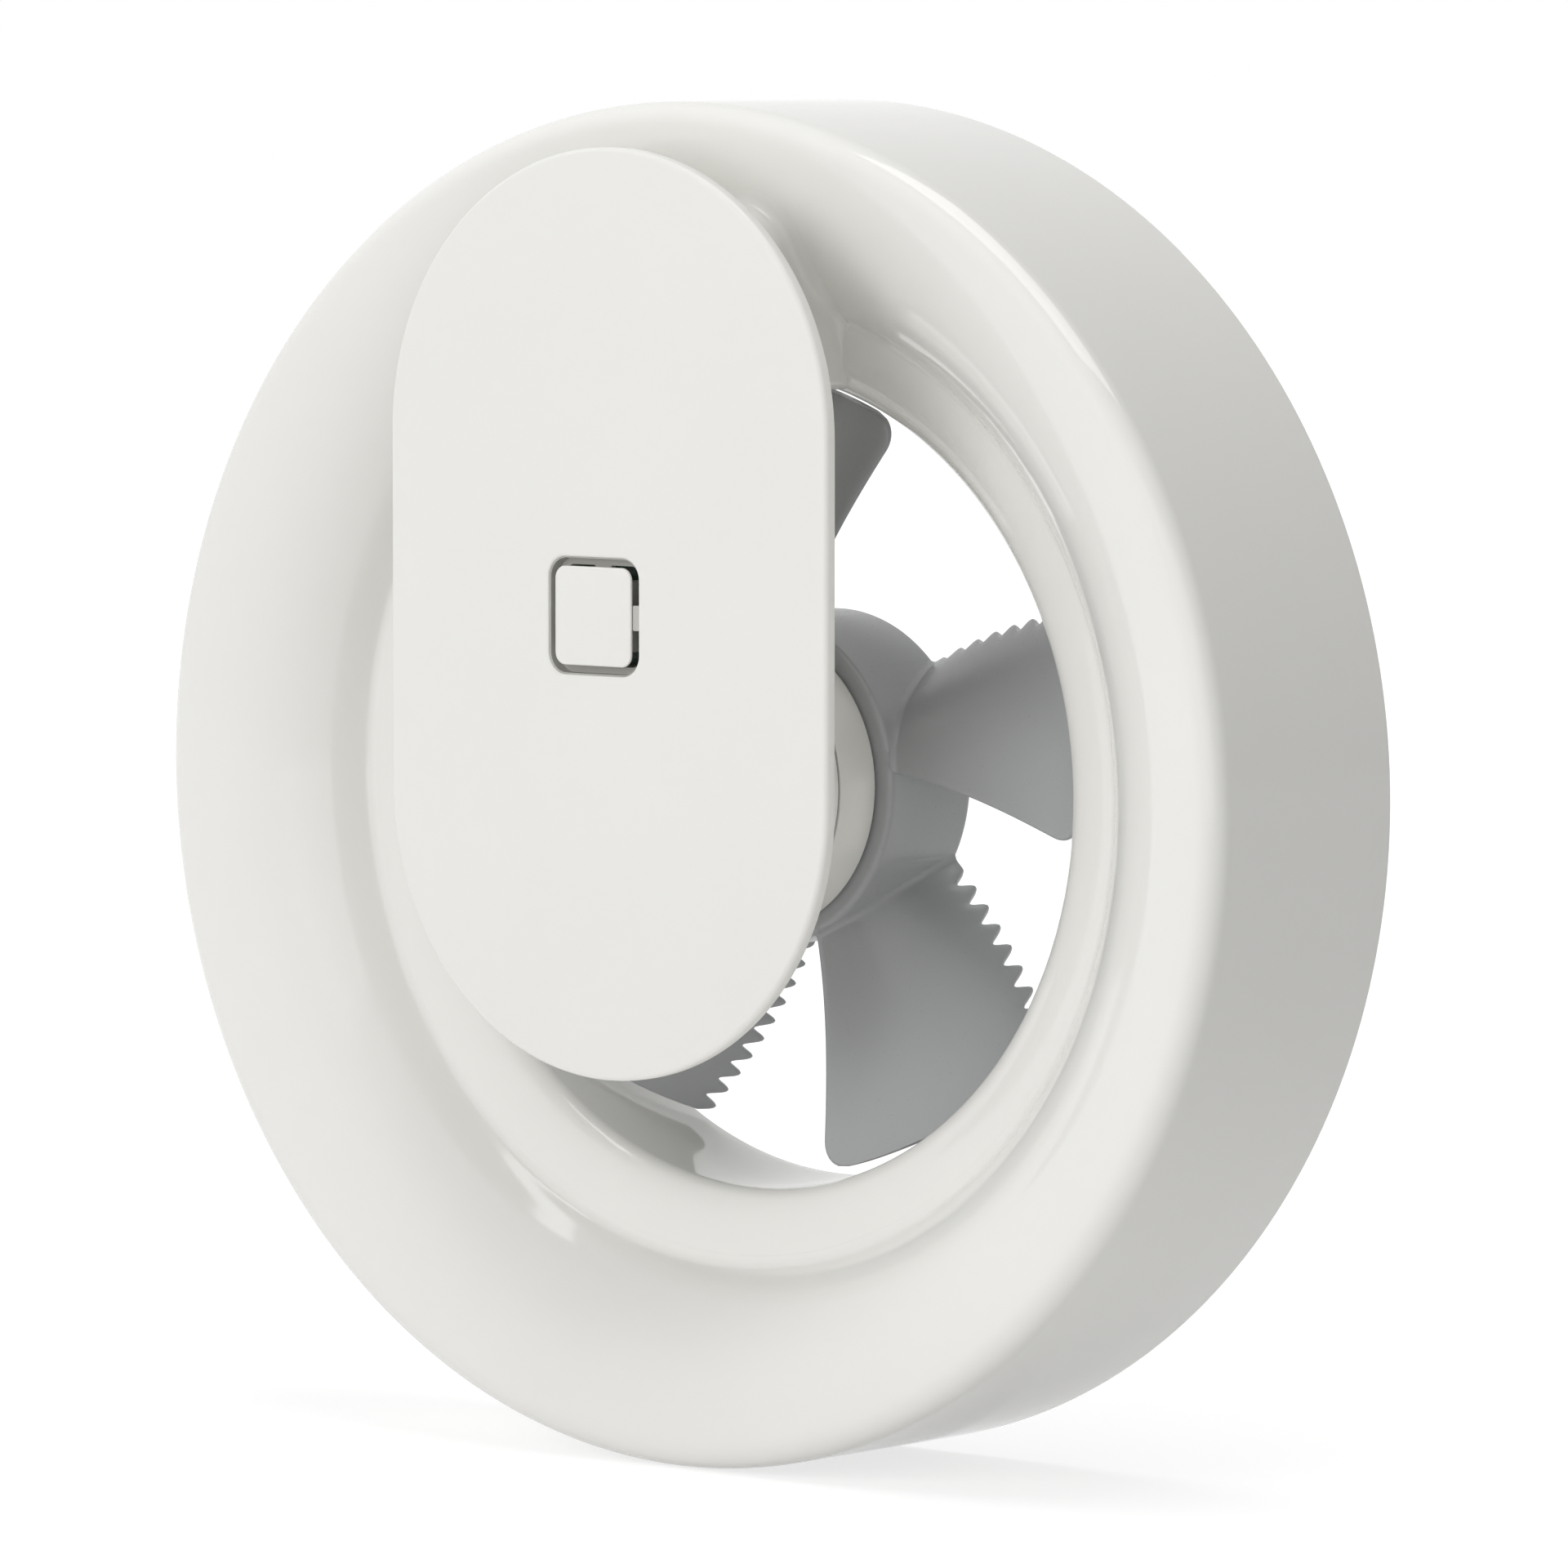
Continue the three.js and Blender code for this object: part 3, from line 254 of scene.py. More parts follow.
def around_axis(base):
    """Coordinates that run outwards and along the fan's axis, and stay the same round about it."""
    split = add(base.tree, "ShaderNodeSeparateXYZ", links={"Vector": base.place})
    flat = add(base.tree, "ShaderNodeCombineXYZ",
               links={"X": split.outputs["X"], "Y": split.outputs["Z"]})
    reach = add(base.tree, "ShaderNodeVectorMath", {"operation": "LENGTH"},
                links={0: flat.outputs["Vector"]})
    both = add(base.tree, "ShaderNodeCombineXYZ",
               links={"X": reach.outputs["Value"], "Y": split.outputs["Y"]})
    return both.outputs["Vector"]


def band_scale(pitch):
    """Scale of a wave texture whose bands lie a pitch apart, in millimetres."""
    return QUARTER / (5 * pitch * MM)


def moulded(name, colour, ior, roughness, grain, wave, cloud=0.015):
    """A moulded plastic. Grain and wave are each a width and a height in millimetres."""
    base = blank(name, {"IOR": ior})
    clouds, fine, slow = [
        add(base.tree, "ShaderNodeTexNoise", None, {"Scale": 1 / (width * MM), "Detail": detail},
            {"Vector": base.place}).outputs["Fac"]
        for width, detail in ((CLOUD_WIDTH, 2), (grain[0], 3), (wave[0], 1))
    ]
    rough = add(base.tree, "ShaderNodeMath", {"operation": "MULTIPLY"}, {1: grain[1]}, {0: fine})
    skin = add(base.tree, "ShaderNodeMath", {"operation": "MULTIPLY_ADD"}, {1: wave[1]},
               {0: slow, 2: rough.outputs[0]})
    return dress(base, clouds, (shaded(colour, -cloud), shaded(colour, cloud)),
                 (roughness * 0.85, roughness * 1.15), 1, fine, skin.outputs[0])


def polished_abs(colour):
    """Drum and bellmouth. The tool is polished, so the skin mirrors the room, and the slow wave
    where the plastic sank over its walls bends those reflections a little."""
    return moulded("polished_abs", colour, 1.53, 0.08, (0.6, 0.0003), (9, 0.006))


def satin_abs(colour):
    """Front plate and button. Spark erosion leaves a fine grain that spreads the light evenly. The
    real grain is about 0.1 mm wide and is drawn coarser."""
    return moulded("satin_abs", colour, 1.53, 0.4, (0.5, 0.008), (25, 0.01))


def cup_abs(colour):
    """Motor cup and arm: a plainer tool than the plate's, so the grain is weaker and duller."""
    return moulded("cup_abs", colour, 1.53, 0.32, (0.4, 0.004), (12, 0.01))


def fan_polypropylene(colour):
    """Impeller: filled polypropylene, half gloss, with flow marks that break up its highlights."""
    return moulded("fan_polypropylene", colour, 1.49, 0.29, (0.5, 0.002), (7, 0.02), cloud=0.04)


def guide_abs(colour):
    """Frame behind the button, matt and unpainted. Its grey is partly its own colour and partly
    painted shade for the deep gaps round the button.
    """
    return moulded("guide_abs", colour, 1.53, 0.5, (0.4, 0.01), (12, 0.01))


def cream_polyamide():
    """Terminal block and plug: natural polyamide, waxy, with a faint uneven yellow."""
    return moulded("cream_polyamide", linear("#d9d5c8"), 1.53, 0.42, (0.4, 0.006), (8, 0.01), 0.05)


def black_polyamide():
    """Switch, power module and capacitor case: glass filled, so the skin is dull and speckled."""
    return moulded("black_polyamide", linear("#1f2021"), 1.53, 0.5, (0.25, 0.012), (8, 0.01), 0.2)


def nitrile_rubber():
    """Grommet and damping ring. Rubber blooms: pale clouds 4 mm wide lie on a dull black."""
    base = blank("nitrile_rubber", {"IOR": 1.52})
    bloom = add(base.tree, "ShaderNodeTexNoise", values={"Scale": 1 / (4 * MM), "Detail": 4},
                links={"Vector": base.place})
    fine = add(base.tree, "ShaderNodeTexNoise", values={"Scale": 1 / (0.3 * MM)},
               links={"Vector": base.place})
    return dress(base, bloom.outputs["Fac"], (linear("#242526"), linear("#3a3b3c")), (0.6, 0.85),
                 0.02, relief=fine.outputs["Fac"])


def cell_foam():
    """Rear seal. Cut foam shows open cells as pits, which take away every highlight. The pits' dark
    middles are painted shade. Real cells are near 0.4 mm and are drawn twice as wide."""
    base = blank("cell_foam", {"IOR": 1.5})
    cells = add(base.tree, "ShaderNodeTexVoronoi", values={"Scale": 1 / (0.8 * MM)},
                links={"Vector": base.place})
    # Darkest in each cell's middle, where the pit is deepest: painted shade.
    tints = linear("#1b1c1d"), linear("#4a4b4c")
    return dress(base, cells.outputs["Distance"], tints, (0.9, 1.0), 0.3)


def coated_laminate():
    """Circuit boards. Green resist lies on glass cloth, whose weave of crossing threads shows as a
    faint check. Real threads are near 0.4 mm and are drawn twice as wide."""
    base = blank("coated_laminate", {"IOR": 1.55})
    threads = [
        add(base.tree, "ShaderNodeTexWave", {"bands_direction": way}, {"Scale": band_scale(0.8)},
            {"Vector": base.place})
        for way in ("X", "Z")
    ]
    weave = add(base.tree, "ShaderNodeMath", {"operation": "MULTIPLY"},
                links={0: threads[0].outputs["Fac"], 1: threads[1].outputs["Fac"]})
    tints = linear("#1a4f34"), linear("#24684a")
    return dress(base, weave.outputs[0], tints, (0.25, 0.4), 0.01)


def ground_steel():
    """Shaft, bearings, clip and yoke. Turning and grinding leave lines round the axis, 0.2 mm
    apart, that draw a highlight out along the axis."""
    base = blank("ground_steel", {"Metallic": 1})
    lines = add(base.tree, "ShaderNodeTexNoise", values={"Scale": 1 / (0.2 * MM), "Detail": 2},
                links={"Vector": around_axis(base)})
    tints = linear("#aeb0b2"), linear("#c4c6c8")
    return dress(base, lines.outputs["Fac"], tints, (0.2, 0.38), 0.004)


def stacked_steel():
    """Stator core: punched sheets 0.5 mm thick, pressed together. Each joint shows as a dark line
    across the stack, and the oxide on the sheets keeps them dull."""
    base = blank("stacked_steel", {"Metallic": 1})
    sheets = add(base.tree, "ShaderNodeTexWave", {"bands_direction": "Y"},
                 {"Scale": band_scale(0.5)}, {"Vector": base.place})
    tints = linear("#5c5e60"), linear("#8f9193")
    return dress(base, sheets.outputs["Fac"], tints, (0.6, 0.42), 0.05)


def wound_copper():
    """Coils: enamelled wire laid turn by turn outwards along each pole. The enamel gives a clear
    highlight on every turn, and each turn is painted dark in its groove and light on its crown:
    painted shade and painted highlight. Real wire is 0.2 mm thick and is drawn at 0.5 mm."""
    base = blank("wound_copper", {"Metallic": 1, "Coat Weight": 0.6, "Coat Roughness": 0.1})
    turns = add(base.tree, "ShaderNodeTexWave", {"bands_direction": "X"},
                {"Scale": band_scale(0.5)}, {"Vector": around_axis(base)})
    # Dark in each turn's groove and light on its crown: painted shade and painted highlight.
    tints = linear("#6e3a1c"), linear("#c07a45")
    return dress(base, turns.outputs["Fac"], tints, (0.45, 0.28), 0.12)


def sintered_ferrite():
    """Rotor magnet: pressed and fired powder, charcoal with lighter grains on a dull face."""
    base = blank("sintered_ferrite", {"IOR": 2.4})
    grains = add(base.tree, "ShaderNodeTexNoise", values={"Scale": 1 / (0.35 * MM), "Detail": 5},
                 links={"Vector": base.place})
    tints = linear("#201f1e"), linear("#3b3a38")
    return dress(base, grains.outputs["Fac"], tints, (0.55, 0.8), 0.02)


MATERIALS = {}

# Each finish, the colour of the panel that it takes, and the solids that show it.
FINISHES = [
    (polished_abs, ["gloss_white"], ["front_ring", "bellmouth", "back_plate"]),
    (satin_abs, ["satin_white"], ["front_plate", "button_cap", "cable_clamp"]),
    (cup_abs, ["cup_white"], ["motor_carrier", "motor_base"]),
    (fan_polypropylene, ["fan_grey"], ["impeller"]),
    (guide_abs, ["guide_grey"], ["button_guide"]),
    (cream_polyamide, [], ["terminal_block", "motor_plug"]),
    (black_polyamide, [], ["tact_switch", "power_module", "filter_capacitor"]),
    (nitrile_rubber, [], ["cable_grommet", "damper_ring"]),
    (cell_foam, [], ["rear_seal"]),
    (coated_laminate, [], ["control_board", "motor_board"]),
    (ground_steel, [], ["front_bearing", "rear_bearing", "motor_shaft", "shaft_clip", "rotor_yoke"]),
    (stacked_steel, [], ["stator_core"]),
    (wound_copper, [], ["coil_1", "coil_2", "coil_3", "coil_4"]),
    (sintered_ferrite, [], ["rotor_magnet"]),
]


def make_materials(colours):
    """Makes every finish, and gives the one that each solid shows."""
    shown = {}
    for make, tints, nodes in FINISHES:
        material = make(*[getattr(colours, name) for name in tints])
        MATERIALS[make.__name__] = material
        shown.update((node, material) for node in nodes)
    return shown


# ---------------------------------------------------------------- outlines


def shares(count):
    """Even steps from 0 to 1."""
    return [i / count for i in range(count + 1)]


def quarter_turn(count):
    """Even steps from 0 to a quarter of a turn."""
    return [QUARTER * share for share in shares(count)]


def arc(centre, radius, start, end, count):
    """Corners on an arc of a circle, or of an ellipse where two radii are given."""
    across, deep = radius if isinstance(radius, tuple) else (radius, radius)
    turns = [start + (end - start) * share for share in shares(count)]
    return [(centre[0] + across * math.cos(t), centre[1] + deep * math.sin(t)) for t in turns]


def along(start, end, pitch):
    """Corners between two corners, about a pitch apart, without the two themselves."""
    count = max(1, round(math.dist(start, end) / pitch))
    gap = [end[i] - start[i] for i in (0, 1)]
    return [(start[0] + gap[0] * share, start[1] + gap[1] * share) for share in shares(count)[1:-1]]


def rectangle(left, right, bottom, top, corner, count=8):
    """A rectangle with round corners, counter-clockwise seen from the front."""
    low, high = bottom + corner, top - corner
    near, far = left + corner, right - corner
    outline = []
    for i, middle in enumerate(((far, low), (far, high), (near, high), (near, low))):
        outline += arc(middle, corner, (i - 1) * QUARTER, i * QUARTER, count)
    return outline


def laid(outline, y):
    """An outline of (x, z) laid at one y."""
    return [(x, y, z) for x, z in outline]


# ---------------------------------------------------------------- modelling


# Corners that lie closer than this are one corner.
MERGE = 0.003


def unselect():
    """Leaves nothing selected."""
    bpy.ops.object.select_all(action="DESELECT")


def pick(piece):
    """Makes a piece the one that the next step works on."""
    unselect()
    piece.select_set(True)
    bpy.context.view_layer.objects.active = piece


def opened(piece):
    """Opens a piece for editing, with all of it selected."""
    pick(piece)
    bpy.ops.object.mode_set(mode="EDIT")
    bpy.ops.mesh.select_all(action="SELECT")


def tidied(piece):
    """Ends the editing of a piece: merges what lies together and points every face outwards."""
    bpy.ops.object.mode_set(mode="OBJECT")
    opened(piece)
    bpy.ops.mesh.remove_doubles(threshold=MERGE * MM)
    bpy.ops.mesh.normals_make_consistent(inside=False)
    bpy.ops.object.mode_set(mode="OBJECT")
    return piece


def draw(name, corners):
    """A line drawn corner by corner, all of it selected and open for editing."""
    unselect()
    bpy.ops.mesh.primitive_plane_add(size=MM)
    piece = bpy.context.object
    piece.name = name
    bpy.ops.object.mode_set(mode="EDIT")
    bpy.ops.mesh.merge(type="CENTER")
    here = Vector()
    for i, corner in enumerate(corners):
        step = Vector(corner) * MM - here
        if i:
            bpy.ops.mesh.extrude_region_move(TRANSFORM_OT_translate={"value": step})
        else:
            bpy.ops.transform.translate(value=step)
        here += step
    bpy.ops.mesh.select_all(action="SELECT")
    return piece


def turned(name, outline, steps=192, centre=(0, 0), closed=True):
    """A section of (radius, y) spun about the fan's axis, or about one beside it."""
    x, z = centre
    loop = [*outline, outline[0]] if closed else outline
    piece = draw(name, [(x + r, y, z) for r, y in loop])
    bpy.ops.mesh.spin(steps=steps, angle=math.tau, center=(x * MM, 0, z * MM), axis=(0, 1, 0))
    return tidied(piece)


def pressed(name, outline, front, back):
    """A flat outline of (x, z) filled and drawn from one y to another."""
    piece = draw(name, laid(outline, front))
    bpy.ops.mesh.edge_face_add()
    depth = Vector((0, back - front, 0)) * MM
    bpy.ops.mesh.extrude_region_move(TRANSFORM_OT_translate={"value": depth})
    return tidied(piece)


def lofted(name, rings):
    """A closed skin through rings of corners, pulled out of a disc ring by ring."""
    count = len(rings[0])
    unselect()
    bpy.ops.mesh.primitive_circle_add(vertices=count, radius=1, fill_type="NGON")
    piece = bpy.context.object
    piece.name = name
    bpy.ops.object.mode_set(mode="EDIT")
    for _ in rings[1:]:
        bpy.ops.mesh.extrude_region_move(TRANSFORM_OT_translate={"value": (0, 0, 1)})
    bpy.ops.object.mode_set(mode="OBJECT")
    for corner in piece.data.vertices:
        turn = math.atan2(-corner.co.x, corner.co.y) / math.tau
        corner.co = Vector(rings[round(corner.co.z)][round(turn * count) % count]) * MM
    return tidied(piece)


def ringed(piece, count):
    """Copies of all that a piece holds, evenly round the fan's axis."""
    opened(piece)
    sweep = math.tau * (count - 1) / count
    bpy.ops.mesh.spin(steps=count - 1, angle=sweep, dupli=True, center=(0, 0, 0), axis=(0, 1, 0))
    bpy.ops.object.mode_set(mode="OBJECT")
    return piece


def combine(piece, other, operation):
    """Works another piece into a piece, and drops it."""
    pick(piece)
    way = piece.modifiers.new("combined", "BOOLEAN")
    way.operation = operation
    way.object = other
    way.solver = "EXACT"
    bpy.ops.object.modifier_apply(modifier=way.name)
    bpy.data.objects.remove(other)


def join(piece, other):
    """Joins another piece on."""
    combine(piece, other, "UNION")


def cut(piece, other):
    """Cuts another piece out."""
    combine(piece, other, "DIFFERENCE")


def rounded(piece, width, segments, angle=40):
    """Rounds every edge that turns by more than an angle."""
    pick(piece)
    bevel = piece.modifiers.new("rounded", "BEVEL")
    bevel.width = width * MM
    bevel.segments = segments
    bevel.limit_method = "ANGLE"
    bevel.angle_limit = math.radians(angle)
    bevel.use_clamp_overlap = False
    bpy.ops.object.modifier_apply(modifier=bevel.name)
    return piece


def finish(piece, material, body, *nodes, angle=35):
    """Shades a piece, gives it its finish and sets it in place of the solids that it stands for."""
    pick(piece)
    bpy.ops.object.shade_smooth_by_angle(angle=math.radians(angle))
    piece.data.materials.clear()
    piece.data.materials.append(MATERIALS[material])
    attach(piece, body)
    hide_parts(*nodes)


class Step:
    """What the steps of modelling share: each works from sizes in millimetres."""

    def execute(self, context):
        self.model(measure(context.scene.fan_sizes))
        return {"FINISHED"}


# ---------------------------------------------------------------- drum, rolled front and neck


NECK_WALL = 2.6
NECK_CORNER = 8


def surface_y(m, radius):
    """Y of the rolled front, the land and the lip at a distance from the axis."""
    if radius >= m.bulge_r:
        return m.crest
    if radius >= m.bulge_r - m.bulge * math.sin(m.bulge_turn):
        return m.bulge_y - math.sqrt(m.bulge**2 - (m.bulge_r - radius) ** 2)
    if radius >= m.valley_r:
        return m.valley_y + math.sqrt(m.crease_fillet**2 - (radius - m.valley_r) ** 2)
    inward = min(1, max(0, (m.lip - radius) / (m.lip - m.bore_radius)))
    return m.crease + m.lip_depth * (1 - math.sqrt(1 - inward**2))


def drum_section(m):
    """The drum's wall, the round edge, the rolled front and the land inside it."""
    inner = m.bulge - m.drum_wall
    back = m.crease + m.cover_edge
    inner_turn = math.acos((m.bulge_y - back) / inner)
    rim_y = m.crest + m.rim_fillet
    bulge = (m.bulge_r, m.bulge_y)
    return [
        (m.drum_radius, 0),
        *arc((m.bulge_r, rim_y), m.rim_fillet, 0, -QUARTER, 10),
        *arc(bulge, m.bulge, -QUARTER, -QUARTER - m.bulge_turn, 40)[1:],
        *arc((m.valley_r, m.valley_y), m.crease_fillet, QUARTER - m.bulge_turn, QUARTER, 8)[1:],
        (m.seam, m.crease),
        (m.seam, back),
        *arc(bulge, inner, -QUARTER - inner_turn, -QUARTER, 12),
        *arc((m.bulge_r, rim_y), m.rim_fillet - m.drum_wall, -QUARTER, 0, 4)[1:],
        (m.drum_radius - m.drum_wall, 0),
    ]


def neck_outline(m):
    """Corners of the neck's outline, each with its outward direction."""
    foot, corner, pitch = 2, NECK_CORNER, 1.2
    half, low, high = m.neck_half_width, m.neck_bottom + foot, m.neck_top - corner
    outline = []

    def bend(x, z, radius, start):
        for turn in quarter_turn(10):
            outward = (math.cos(start + turn), math.sin(start + turn))
            outline.append(((x + radius * outward[0], z + radius * outward[1]), outward))

    def side(end, outward):
        outline.extend((corner, outward) for corner in along(outline[-1][0], end, pitch))

    bend(half - foot, low, foot, -QUARTER)
    side((half, high), (1, 0))
    bend(half - corner, high, corner, 0)
    side((corner - half, m.neck_top), (0, 1))
    bend(corner - half, high, corner, QUARTER)
    side((-half, low), (-1, 0))
    bend(foot - half, low, foot, 2 * QUARTER)
    side((half - foot, m.neck_bottom), (0, -1))
    return outline


def neck_rings(m):
    """The neck from its rim down, out through the fillet, and into the rolled front's wall."""
    proud, root, foot_y = 0.03, 1.2, m.crest + 20.5
    fillet_foot, fillet_rise = 68, 12
    outline = neck_outline(m)
    rings = [[(x, m.tray_back, z) for (x, z), _ in outline]]
    for turn in quarter_turn(14):
        ring = []
        for (x, z), (right, up) in outline:
            grown = min(1, max(0, (z - fillet_foot) / fillet_rise))
            fillet = m.neck_fillet * grown * grown * (3 - 2 * grown)
            spread = fillet * (1 - math.cos(turn))
            x, z = x + right * spread, z + up * spread
            y = min(surface_y(m, math.hypot(x, z)), foot_y)
            ring.append((x, y - proud - fillet * (1 - math.sin(turn)), z))
        rings.append(ring)
    edge = [(x, y + root, z) for x, y, z in rings[-1]]
    rings.append(edge)
    middle = (m.neck_bottom + m.neck_top) / 2
    for share in (0.12, 0.25, 0.4, 0.6, 0.8, 0.97):
        inner = [(x * (1 - share), z + (middle - z) * share) for x, _, z in edge]
        rings.append([(x, min(surface_y(m, math.hypot(x, z)), foot_y) + root, z) for x, z in inner])
    return rings


def duct_section(m, gap):
    """The bellmouth's lip and the duct, grown by a gap to cut what has to stay clear."""
    middle = (m.lip, m.lip_back)
    face = (m.lip - m.bore_radius, m.lip_depth + gap)
    rear = (m.lip - m.duct - gap, m.lip_depth - m.duct_wall)
    return [
        (m.lip + gap, m.crease + m.duct_wall),
        (m.lip + gap, m.crease - gap),
        *arc(middle, face, -QUARTER, -2 * QUARTER, 28)[1:],
        (m.bore_radius, m.plate_y),
        (m.duct + gap, m.plate_y),
        *arc(middle, rear, -2 * QUARTER, -QUARTER, 12),
    ]


class FAN_OT_drum(Step, bpy.types.Operator):
    """Drum with its rolled front and the neck that carries the motor's arm"""

    bl_idname = "fan.drum"
    bl_label = "Drum and rolled front"

    def model(self, m):
        drum = turned("drum_shell", drum_section(m), steps=256)
        wall = m.drum_radius - m.drum_wall
        snap_width, snap_half, snap_depth = 5, 6, 14
        snap = rectangle(wall - snap_width, wall + SUNK, -snap_half, snap_half, 0.8)
        join(drum, ringed(pressed("snap", snap, m.plate_y - snap_depth, m.plate_y), 4))
        join(drum, lofted("neck", neck_rings(m)))
        half = m.neck_half_width - NECK_WALL
        low, high = m.neck_bottom + NECK_WALL, m.neck_top - NECK_WALL
        hollow = rectangle(-half, half, low, high, NECK_CORNER - NECK_WALL)
        cut(drum, pressed("hollow", hollow, m.tray_back - OVER, OVER))
        cut(drum, turned("clear_of_duct", duct_section(m, m.seam_gap)))
        plate = [(m.bore_radius, m.plate_y), (wall, m.plate_y), (wall, OVER), (m.bore_radius, OVER)]
        cut(drum, turned("clear_of_plate", plate))
        finish(drum, "polished_abs", "housing", "front_ring")


# ---------------------------------------------------------------- bellmouth and back plate


class FAN_OT_duct(Step, bpy.types.Operator):
    """Bellmouth with the air duct behind it, and the ribs that stand on the back plate"""

    bl_idname = "fan.duct"
    bl_label = "Bellmouth"

    def model(self, m):
        duct = turned("bellmouth_skin", duct_section(m, 0), steps=256)
        start = math.radians(6)
        across = Vector((-math.sin(start), math.cos(start)))
        out = Vector((math.cos(start), math.sin(start)))
        width, half, height = 7, 0.9, 16
        near, far = m.duct - SUNK, m.duct + width
        foot = [(near, -half), (far, -half), (far, half), (near, half)]
        outline = [tuple(out * r + across * side) for r, side in foot]
        rib = rounded(pressed("rib", outline, m.plate_y - height, m.plate_y), 0.3, 2)
        join(duct, ringed(rib, 8))
        finish(duct, "polished_abs", "housing", "bellmouth")


# A slot is a width and a length, the foam's ring two radii, the inlet an (x, z), and a collar a
# width and a height.
SCREW_RING = 91
SCREW_SLOT = (6.4, 11)
FOAM_RING = (101, 106)
FOAM_DEPTH = 1.6
INLET = (-84.0, -29.99)
INLET_RADIUS = 8
COLLAR = (2, 4)


def screw_slot(m, name, grow, front, back):
    """Four slots towards the corners, or the collars round them, pressed from one y to another."""
    half_width, half_length = SCREW_SLOT[0] / 2 + grow, SCREW_SLOT[1] / 2 + grow
    flat = rectangle(-half_length, half_length, -half_width, half_width, half_width - 0.01)
    out, turn = SCREW_RING, math.radians(45)
    across, up = math.cos(turn), math.sin(turn)
    outline = [((out + x) * across - z * up, (out + x) * up + z * across) for x, z in flat]
    return ringed(pressed(name, outline, front, back), 4)


class FAN_OT_back_plate(Step, bpy.types.Operator):
    """Back plate with its screw slots, cable inlet and foam strip"""

    bl_idname = "fan.back_plate"
    bl_label = "Back plate and seal"

    def model(self, m):
        edge, rim = 0.3, m.drum_radius - m.drum_wall - m.clearance
        inner, outer = FOAM_RING
        plate = turned("wall_plate", [
            (m.bore_radius, m.plate_y),
            (rim, m.plate_y),
            *arc((rim - edge, -edge), edge, 0, QUARTER, 3),
            (outer, 0), (outer, -FOAM_DEPTH), (inner, -FOAM_DEPTH), (inner, 0),
            *arc((m.bore_radius + edge, -edge), edge, QUARTER, 2 * QUARTER, 3),
        ], steps=256)
        width, height = COLLAR
        join(plate, screw_slot(m, "collar", width, m.plate_y - height, m.plate_y + SUNK))
        cut(plate, screw_slot(m, "slot", 0, m.plate_y - height - OVER, OVER))
        near = m.plate_y - OVER
        hole = [(0, near), (INLET_RADIUS, near), (INLET_RADIUS, OVER), (0, OVER)]
        cut(plate, turned("inlet", hole, 48, INLET, closed=False))
        finish(plate, "polished_abs", "housing", "back_plate")

        soft, fit = 0.5, 0.05
        inner, outer = inner + fit, outer - fit
        foam = turned("wall_foam", [
            (inner, -FOAM_DEPTH), (outer, -FOAM_DEPTH),
            *arc((outer - soft, -soft), soft, 0, QUARTER, 4),
            *arc((inner + soft, -soft), soft, QUARTER, 2 * QUARTER, 4),
        ])
        finish(foam, "cell_foam", "housing", "rear_seal")

        sleeve, bore, flange = INLET_RADIUS - fit, 4, INLET_RADIUS + 1.6
        lip, rear, round_edge = m.plate_y - 1.4, 0.4, 0.6
        bush = turned("cable_bush", [
            *arc((flange - round_edge, lip), round_edge, 0, -QUARTER, 4),
            *arc((bore + round_edge, lip), round_edge, -QUARTER, -2 * QUARTER, 4),
            *arc((bore + round_edge, -rear - round_edge), round_edge, 2 * QUARTER, QUARTER, 4),
            *arc((sleeve - rear, -2 * rear), rear, QUARTER, 0, 4),
            (sleeve, m.plate_y), (flange, m.plate_y),
        ], 64, INLET)
        finish(bush, "nitrile_rubber", "housing", "cable_grommet")


# ---------------------------------------------------------------- front plate and push button


# Corners of the opening and of the button, the room between the button's post and the circuit
# board, where the switch sits, and the flange of the frame.
OPENING_CORNER = 3.4
BUTTON_CORNER = 2
POST_GAP = 5.1
FRAME_FLANGE = 2.4


def dome_y(m, radius):
    """Y of the plate's domed front at a distance from the line through its middle."""
    return m.edge_y - m.plate_dome * (1 - (radius / m.plate_half_width) ** 2)


def pill(name, section, half_straight, middle, steps):
    """A section of (distance, y) spun half round one end, drawn down the waist, and so back."""
    top, bottom = middle + half_straight, middle - half_straight
    piece = draw(name, [(distance, y, top) for distance, y in section])
    down = Vector((0, 0, bottom - top)) * MM
    for height, step in ((top, down), (bottom, -down)):
        bpy.ops.mesh.spin(steps=steps, angle=math.pi, center=(0, 0, height * MM), axis=(0, 1, 0))
        bpy.ops.mesh.extrude_region_move(TRANSFORM_OT_translate={"value": step})
    return tidied(piece)


def tray_outline(m, inset):
    """The motor arm's outline: a straight arm with a round end about the fan's axis."""
    half, radius = m.neck_half_width - inset, m.cup_radius - inset
    top, corner = m.neck_top - inset, NECK_CORNER - inset
    turn = math.acos(half / radius)
    return [
        *arc((half - corner, top - corner), corner, 0, QUARTER, 10),
        *arc((corner - half, top - corner), corner, QUARTER, 2 * QUARTER, 10),
        *arc((0, 0), radius, 2 * QUARTER - turn, 4 * QUARTER + turn, 72),
    ]


def button_square(m, size, corner):
    """A square with round corners about the plate's middle."""
    middle = m.plate_centre
    return rectangle(-size / 2, size / 2, middle - size / 2, middle + size / 2, corner)


def button_block(m, name, size, corner, front, back):
    """A square block about the plate's middle, pressed from one y to another."""
    return pressed(name, button_square(m, size, corner), front, back)


